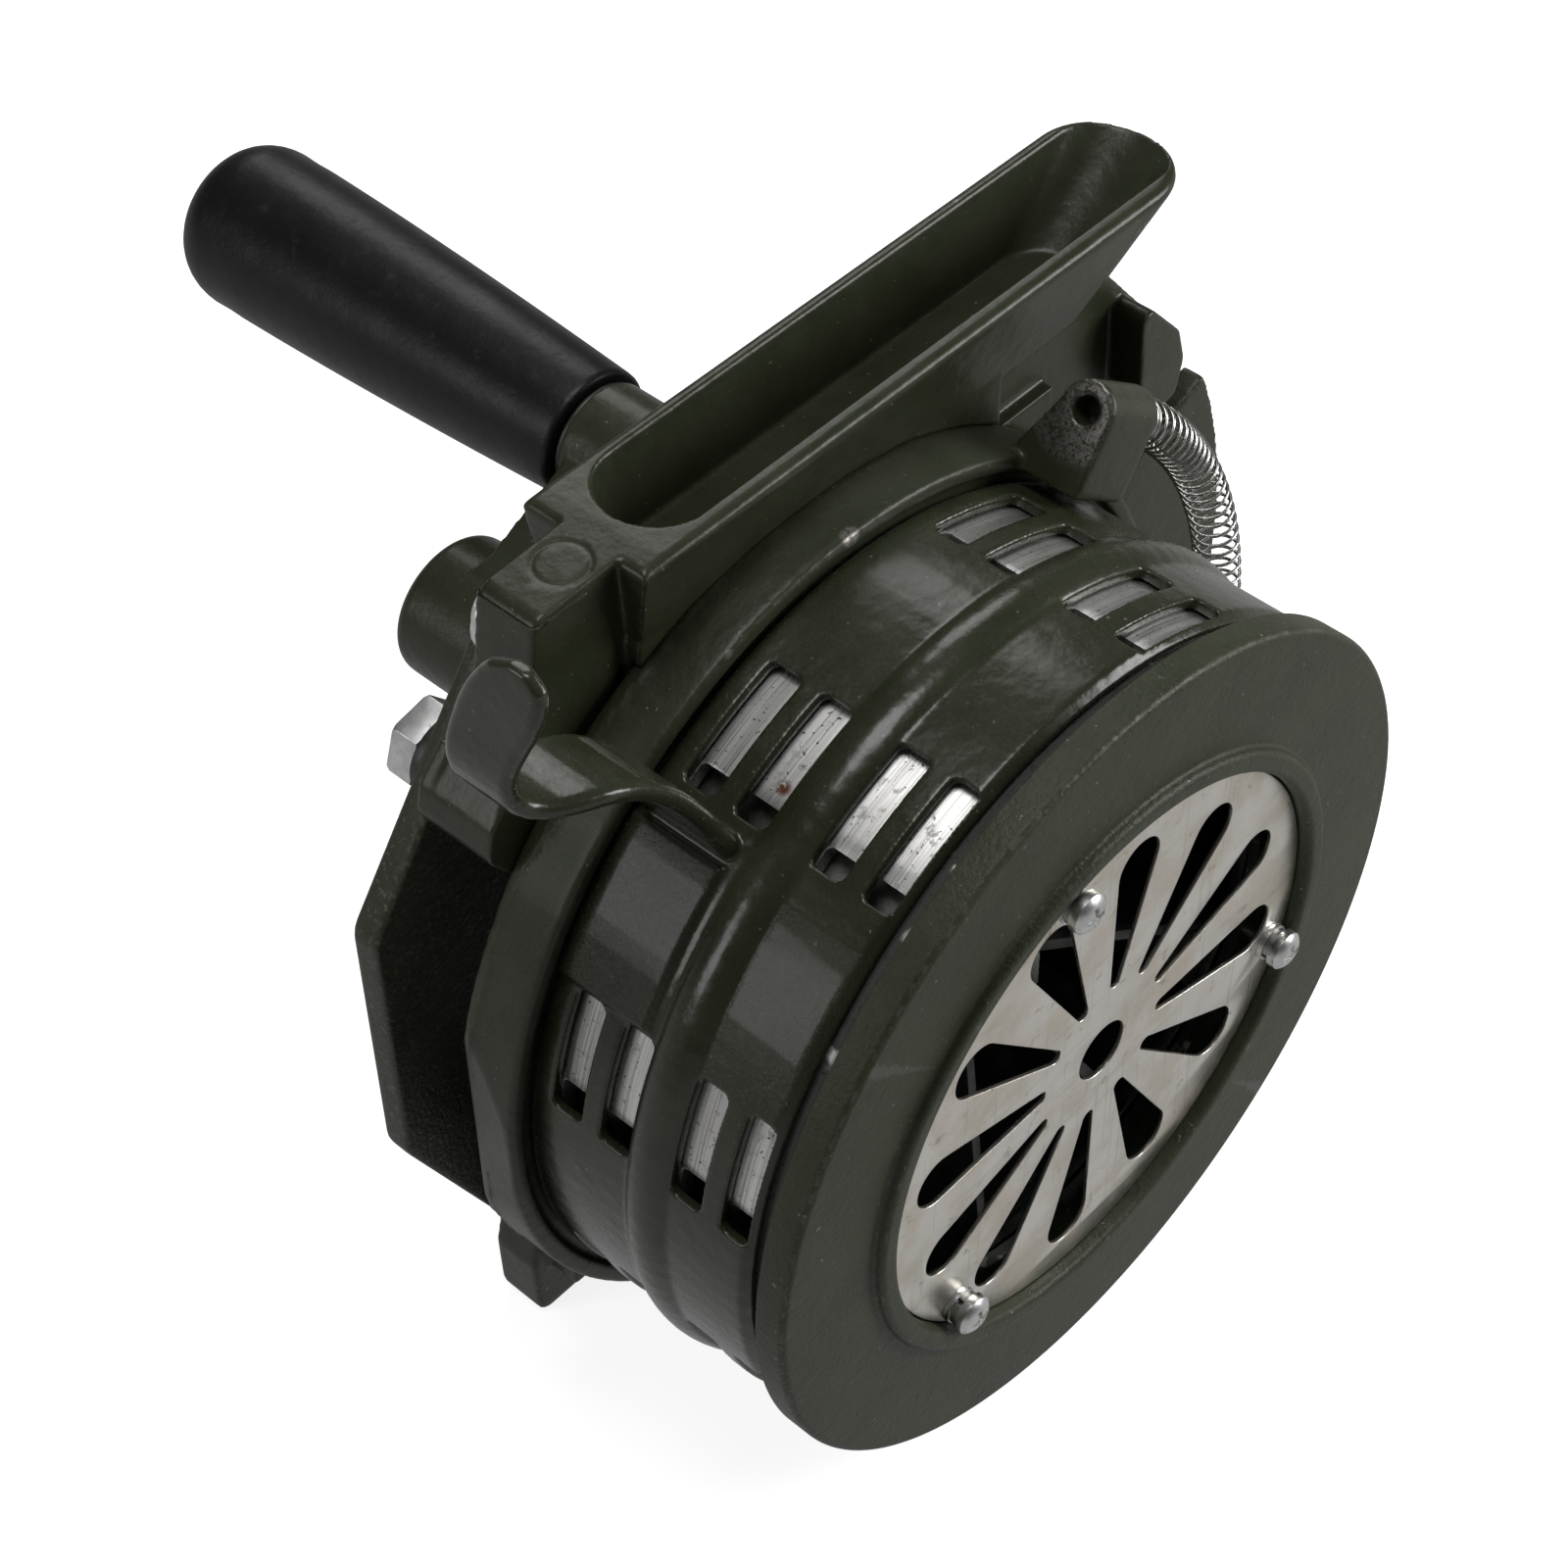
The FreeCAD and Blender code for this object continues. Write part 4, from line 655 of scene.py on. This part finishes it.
def spring_wire():
    wire = Finish("plated spring wire")
    clouds = wire.noise(2.5, 4.0, 0.6)
    grime = wire.ramp(wire.noise(1.2, 4.0, 0.65, shift=(8, 3, 3)), 0.52, 0.68)
    colour = wire.mix(clouds, (0.52, 0.52, 0.50), (0.72, 0.71, 0.69))
    colour = wire.mix(grime * 0.55, colour, (0.14, 0.12, 0.09))
    return wire.surface(Base_Color=colour, Metallic=1.0, Roughness=0.24 + grime * 0.2,
                        Normal=wire.bump(clouds, 0.01))


spring_low, spring_high, spring_axis_r, spring_y = -11.9, 48.87, 88.5, 41.0
end_gap_deg, coil_r, wire_r = 0.35, 3.9, 0.32
spring = coil("spring", spring_axis_r, spring_y, spring_low + end_gap_deg, spring_high - end_gap_deg,
              coil_r, wire_r)
finished(spring, spring_wire(), None, "return_spring")
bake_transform(spring)


# Rear housing: the ring with its mouth, gear case, feet, guard and spring lug,
# cast in one. Duller paint than the sleeve, a band of pits on the left, chips on
# the front edge, a parting line round the middle and a bare lug face.
def ring_skin(paint):
    """Where the ring is pitted: a band round its left side, behind its front edge."""
    deg = paint.bearing()
    y = paint.along("Y")
    band = paint.ramp(deg, 131.0, 137.0) * paint.ramp(deg, 164.0, 154.0) * paint.ramp(y, 48.5, 50.5)
    return 0.35 + band * 0.9


def ring_bare(paint):
    """Chips on the ring's front edge and the filed face of the spring lug."""
    lug_spot, lug_size = (46.5, 41.0, 76.5), 9.0
    lug_face_deg, lug_face_at = 54, 7.1
    big_chip, small_chip = ((-0.4, 47.5, 78.0), 1.8), ((-26.9, 47.5, 73.1), 0.6)
    rag = paint.noise(0.9, 4.0, 0.65)
    lug = paint.near(lug_spot, lug_size, 1.5)
    face_x, face_z = -math.sin(math.radians(lug_face_deg)), math.cos(math.radians(lug_face_deg))
    across = paint.along("X") * face_x + paint.along("Z") * face_z
    lug = lug * paint.ramp(across, lug_face_at, lug_face_at + 0.2) * paint.ramp(rag, 0.40, 0.50)
    chips = paint.near(*big_chip, 0.5).highest(paint.near(*small_chip, 0.5))
    chips = chips * paint.ramp(rag, 0.30, 0.42)
    metal = paint.mix(paint.ramp(rag, 0.45, 0.6), (0.30, 0.29, 0.27), (0.13, 0.12, 0.11))
    return lug.highest(chips * 0.9), metal


def parting_line(spot):
    """A thin flash line round the ring, where the two halves of its mould met."""
    line_y, half_wide, high = 57.25, 0.42, 0.30
    inner_r, outer_r, front_y, rear_y, from_deg = 76.5, 79.0, 56.6, 58.0, 95
    radius = math.hypot(spot.x, spot.z)
    deg = math.degrees(math.atan2(spot.z, spot.x))
    if inner_r < radius < outer_r and front_y < spot.y < rear_y and abs(deg) > from_deg:
        wander = line_y + 0.2 * math.sin(deg * 0.31) + 0.12 * math.sin(deg * 1.7)
        lift = max(0.0, 1.0 - abs(spot.y - wander) / half_wide) * high
        return Vector((spot.x * (1 + lift / radius), spot.y, spot.z * (1 + lift / radius)))
    return spot


housing_paint = olive_paint("housing paint", grain=0.7, depth=0.20, rough=0.42, grain_share=ring_skin,
                            bare=ring_bare, sheen=0.08)
housing = cast("housing", "rear_housing", 0.55, shaped=parting_line)
finished(housing, housing_paint, "housing", "rear_housing")


# Rear plate: a flat casting over the gear case, seldom wiped. Its rim is
# pitted and brown where the paint has gone thin.
def plate_bare(paint):
    """Brown pits where the paint is thin, but not on the plate's rear face."""
    pits = paint.ramp(paint.noise(1.1, 4.0, 0.65, shift=(3, 3, 8)), 0.55, 0.64)
    inside = paint.ramp(paint.along("Y"), 80.2, 79.0)
    return pits * inside * 0.55, (0.19, 0.165, 0.13)


plate_paint = olive_paint("plate paint", grain=0.8, depth=0.22, rough=0.46, tint=0.9, bare=plate_bare)
finished(cast("back_plate", "rear_plate", 0.6, keep=0.35), plate_paint, "housing",
         "rear_plate")


# Finger tray: the carrying handle, a shallow tray on two legs, cast in one.
# Smooth satin paint worn bright along the rims, which also carry a painted
# highlight, with a faint round mark of the mould's ejector pin on the left leg.
def tray_rim_wear_and_highlight(paint):
    """The tray's top rims, rubbed down to bare metal and lightened as a painted highlight."""
    rag = paint.noise(1.4, 4.0, 0.6, shift=(5, 7, 1))
    rim = paint.ramp(paint.edges() + (rag - 0.5) * 0.12, 0.60, 0.66)
    # Only the rims at the top are lightened: partly wear, partly a painted highlight.
    high = paint.ramp(paint.along("Z"), 86.0, 88.5)
    return rim * high * 0.5, (0.30, 0.295, 0.27)


def left_end(spot):
    """The shallow ring pressed by the ejector pin, and the tray's left end,
    which bends down a little."""
    mark_x, mark_y, mark_r, mark_half, mark_deep = -41.2, 66.2, 4.3, 0.55, 0.22
    bend_x, bend_slope, bend_most = -31.5, 0.045, 0.9
    if spot.z > 88.2 and spot.x < -30.0:
        gap = math.hypot(spot.x - mark_x, spot.y - mark_y)
        drop = mark_deep * max(0.0, 1 - abs(gap - mark_r) / mark_half)
        drop += min(bend_most, max(0.0, bend_x - spot.x) * bend_slope)
        spot = spot - Vector((0, 0, drop))
    return spot


tray_paint = olive_paint("tray paint", grain=0.6, depth=0.10, rough=0.34, grain_share=0.30, bare=tray_rim_wear_and_highlight,
                         sheen=0.08)
finished(cast("finger_tray", "carry_handle", 0.4, shaped=left_end), tray_paint, "housing",
         "carry_handle")


# Crank: a short cast arm between two round bosses, painted like the rest and
# rubbed smooth by the hand. It is clamped on its shaft by a socket screw.
crank_paint = olive_paint("crank paint", grain=0.6, depth=0.10, rough=0.36, tint=1.05, grain_share=0.5)
finished(cast("crank_casting", "crank_arm", 0.4, passes=8, keep=0.35), crank_paint, "crank",
         "crank_arm")


# Grip: black moulded rubber, 87 mm long, widening to a domed end with a faint
# crease. It turns on its spindle, so it is a piece of its own.
crank_x, crank_z, throw, throw_deg = -26.88, 43.84, 34.5, 39.5
grip_centre = (crank_x + throw * math.cos(math.radians(throw_deg)),
               crank_z + throw * math.sin(math.radians(throw_deg)))
grip_near, grip_far, bore_r = 101.5, 188.5, 5.3
neck_r, neck_y, widening = 11.2, grip_near + 1.5, 3.2
dome_y, dome_r, dome_in, dome_out = grip_far - 8.0, 14.38, 6.2, 7.9
crease_y, crease_deep = 176.6, 0.10
cap_r, cap_thick, cap_seat = 8.3, 2.0, 9.0
grip_outline = [(bore_r, grip_near), (10.2, grip_near), (10.75, grip_near + 0.2), (11.1, grip_near + 0.7)]
for k in range(25):
    share = k / 24
    y = neck_y + (dome_y - neck_y) * share
    radius = neck_r + widening * (1 - (1 - share) ** 1.55)
    if abs(y - crease_y) < 1.2:
        radius -= crease_deep
    grip_outline.append((radius, y))
for k in range(1, 11):
    angle = math.pi / 2 * k / 10
    grip_outline.append((dome_r - dome_in * (1 - math.cos(angle)), dome_y + dome_out * math.sin(angle)))
grip_outline += [(cap_r + 0.05, grip_far - 0.3), (cap_r + 0.05, grip_far - cap_seat),
                 (bore_r, grip_far - cap_seat)]
hand_grip = lathe("rubber_grip", grip_outline, grip_centre, 128, 40)


def black_rubber():
    rubber = Finish("black rubber")
    clouds = rubber.noise(9.0, 4.0, 0.6)
    fine = rubber.noise(0.5, 3.0, 0.6)
    dust = rubber.ramp(rubber.noise(2.2, 5.0, 0.66, shift=(3, 6, 1)), 0.56, 0.72)
    colour = rubber.mix(clouds, (0.0045, 0.0045, 0.0048), (0.0080, 0.0080, 0.0080))
    colour = rubber.mix(dust * 0.30, colour, (0.035, 0.033, 0.030))
    skin = rubber.bump(clouds, 0.25)
    skin = rubber.bump(fine, 0.02, skin)
    return rubber.surface(Base_Color=colour, Roughness=0.40 + dust * 0.14 + (clouds - 0.5) * 0.12,
                          Normal=skin, Specular_IOR_Level=0.36)


rubber = black_rubber()
finished(hand_grip, rubber, "grip", "hand_grip")
cap_outline = soft_corners(((0.0, grip_far), (cap_r, grip_far - 0.15), (cap_r, grip_far - cap_thick),
                            (0.0, grip_far - cap_thick)), (0, 0.3, 0.1, 0), 4)
finished(lathe("grip_plug", cap_outline, grip_centre, 96, 40), rubber, "grip", "grip_cap")


# Floor, lamps and camera: the siren stands on a plain pale sheet under large
# soft lamps, and is seen from its front left and from well above.
floor_half, floor_z = 4, -0.0751
floor_mesh = bpy.data.meshes.new("floor")
floor_mesh.from_pydata([(-floor_half, -floor_half, floor_z), (floor_half, -floor_half, floor_z),
                        (floor_half, floor_half, floor_z), (-floor_half, floor_half, floor_z)],
                       [], [(0, 1, 2, 3)])
floor = bpy.data.objects.new("floor", floor_mesh)
scene.collection.objects.link(floor)
pale = Finish("pale floor")
floor.data.materials.append(pale.surface(Base_Color=(0.80, 0.80, 0.80), Roughness=0.8,
                                         Specular_IOR_Level=0.2, Emission_Color=(1, 1, 1),
                                         Emission_Strength=0.85))
floor.visible_diffuse = False
floor.visible_glossy = False

lamps_aim = Vector((0, 0.04, 0))
for name, place, width, height, power in (
        ("overhead lamp", (-0.05, 0.10, 1.2), 0.5, 0.5, 4.5),
        ("back lamp", (0.75, 0.85, 0.85), 0.5, 0.5, 2.5),
        ("right lamp", (0.55, -0.45, 0.30), 0.35, 0.35, 3.6),
        ("left lamp", (-0.75, 0.43, 0.37), 0.25, 0.35, 1.0)):
    data = bpy.data.lights.new(name, "AREA")
    data.shape = "RECTANGLE"
    data.size = width
    data.size_y = height
    data.energy = power
    light = bpy.data.objects.new(name, data)
    light.location = place
    light.rotation_mode = "QUATERNION"
    light.rotation_quaternion = (lamps_aim - Vector(place)).to_track_quat("-Z", "Y")
    scene.collection.objects.link(light)

ground_glow, air_glow = 0.40, 0.07
world = bpy.data.worlds.new("studio")
world.use_nodes = True
sky = Nodes(world.node_tree)
heading = sky.node("SeparateXYZ", None, {0: sky.node("TexCoord")}, 2)
glow = sky.node("MapRange", {"interpolation_type": "SMOOTHSTEP"},
                {"Value": heading, "From Min": -0.25, "From Max": 0.1, "To Min": ground_glow,
                 "To Max": air_glow})
seen = sky.node("Mix", None, {0: sky.node("LightPath"), 2: glow, 3: 1.0})
sky.fill(sky.tree.nodes["Background"], {"Strength": seen, "Color": (1, 1, 1)})
scene.world = world

photo_side = 1600
focal_px = 3396.21
camera_azimuth = math.radians(-46.69)
camera_height = math.radians(47.18)
camera_roll = math.radians(-1.11)
cover_px = (1128.34, 1074.61)
cover_distance = 0.52191
cover_centre = Vector((0, cover_y / 1000, 0))
back = Vector((math.sin(camera_azimuth) * math.cos(camera_height),
               -math.cos(camera_azimuth) * math.cos(camera_height), math.sin(camera_height)))
level = Vector((math.cos(camera_azimuth), math.sin(camera_azimuth), 0))
rise = back.cross(level)
right = level * math.cos(camera_roll) + rise * math.sin(camera_roll)
up = rise * math.cos(camera_roll) - level * math.sin(camera_roll)
offset = (right * (cover_px[0] - photo_side / 2) + up * (photo_side / 2 - cover_px[1])) / focal_px
camera_data = bpy.data.cameras.new("camera")
camera_data.sensor_width = 36
camera_data.lens = focal_px / photo_side * camera_data.sensor_width
camera = bpy.data.objects.new("camera", camera_data)
turn = Matrix((right, up, back)).transposed().to_4x4()
camera.matrix_world = Matrix.Translation(cover_centre - (offset - back) * cover_distance) @ turn
scene.collection.objects.link(camera)
scene.camera = camera
scene.view_settings.view_transform = "Standard"
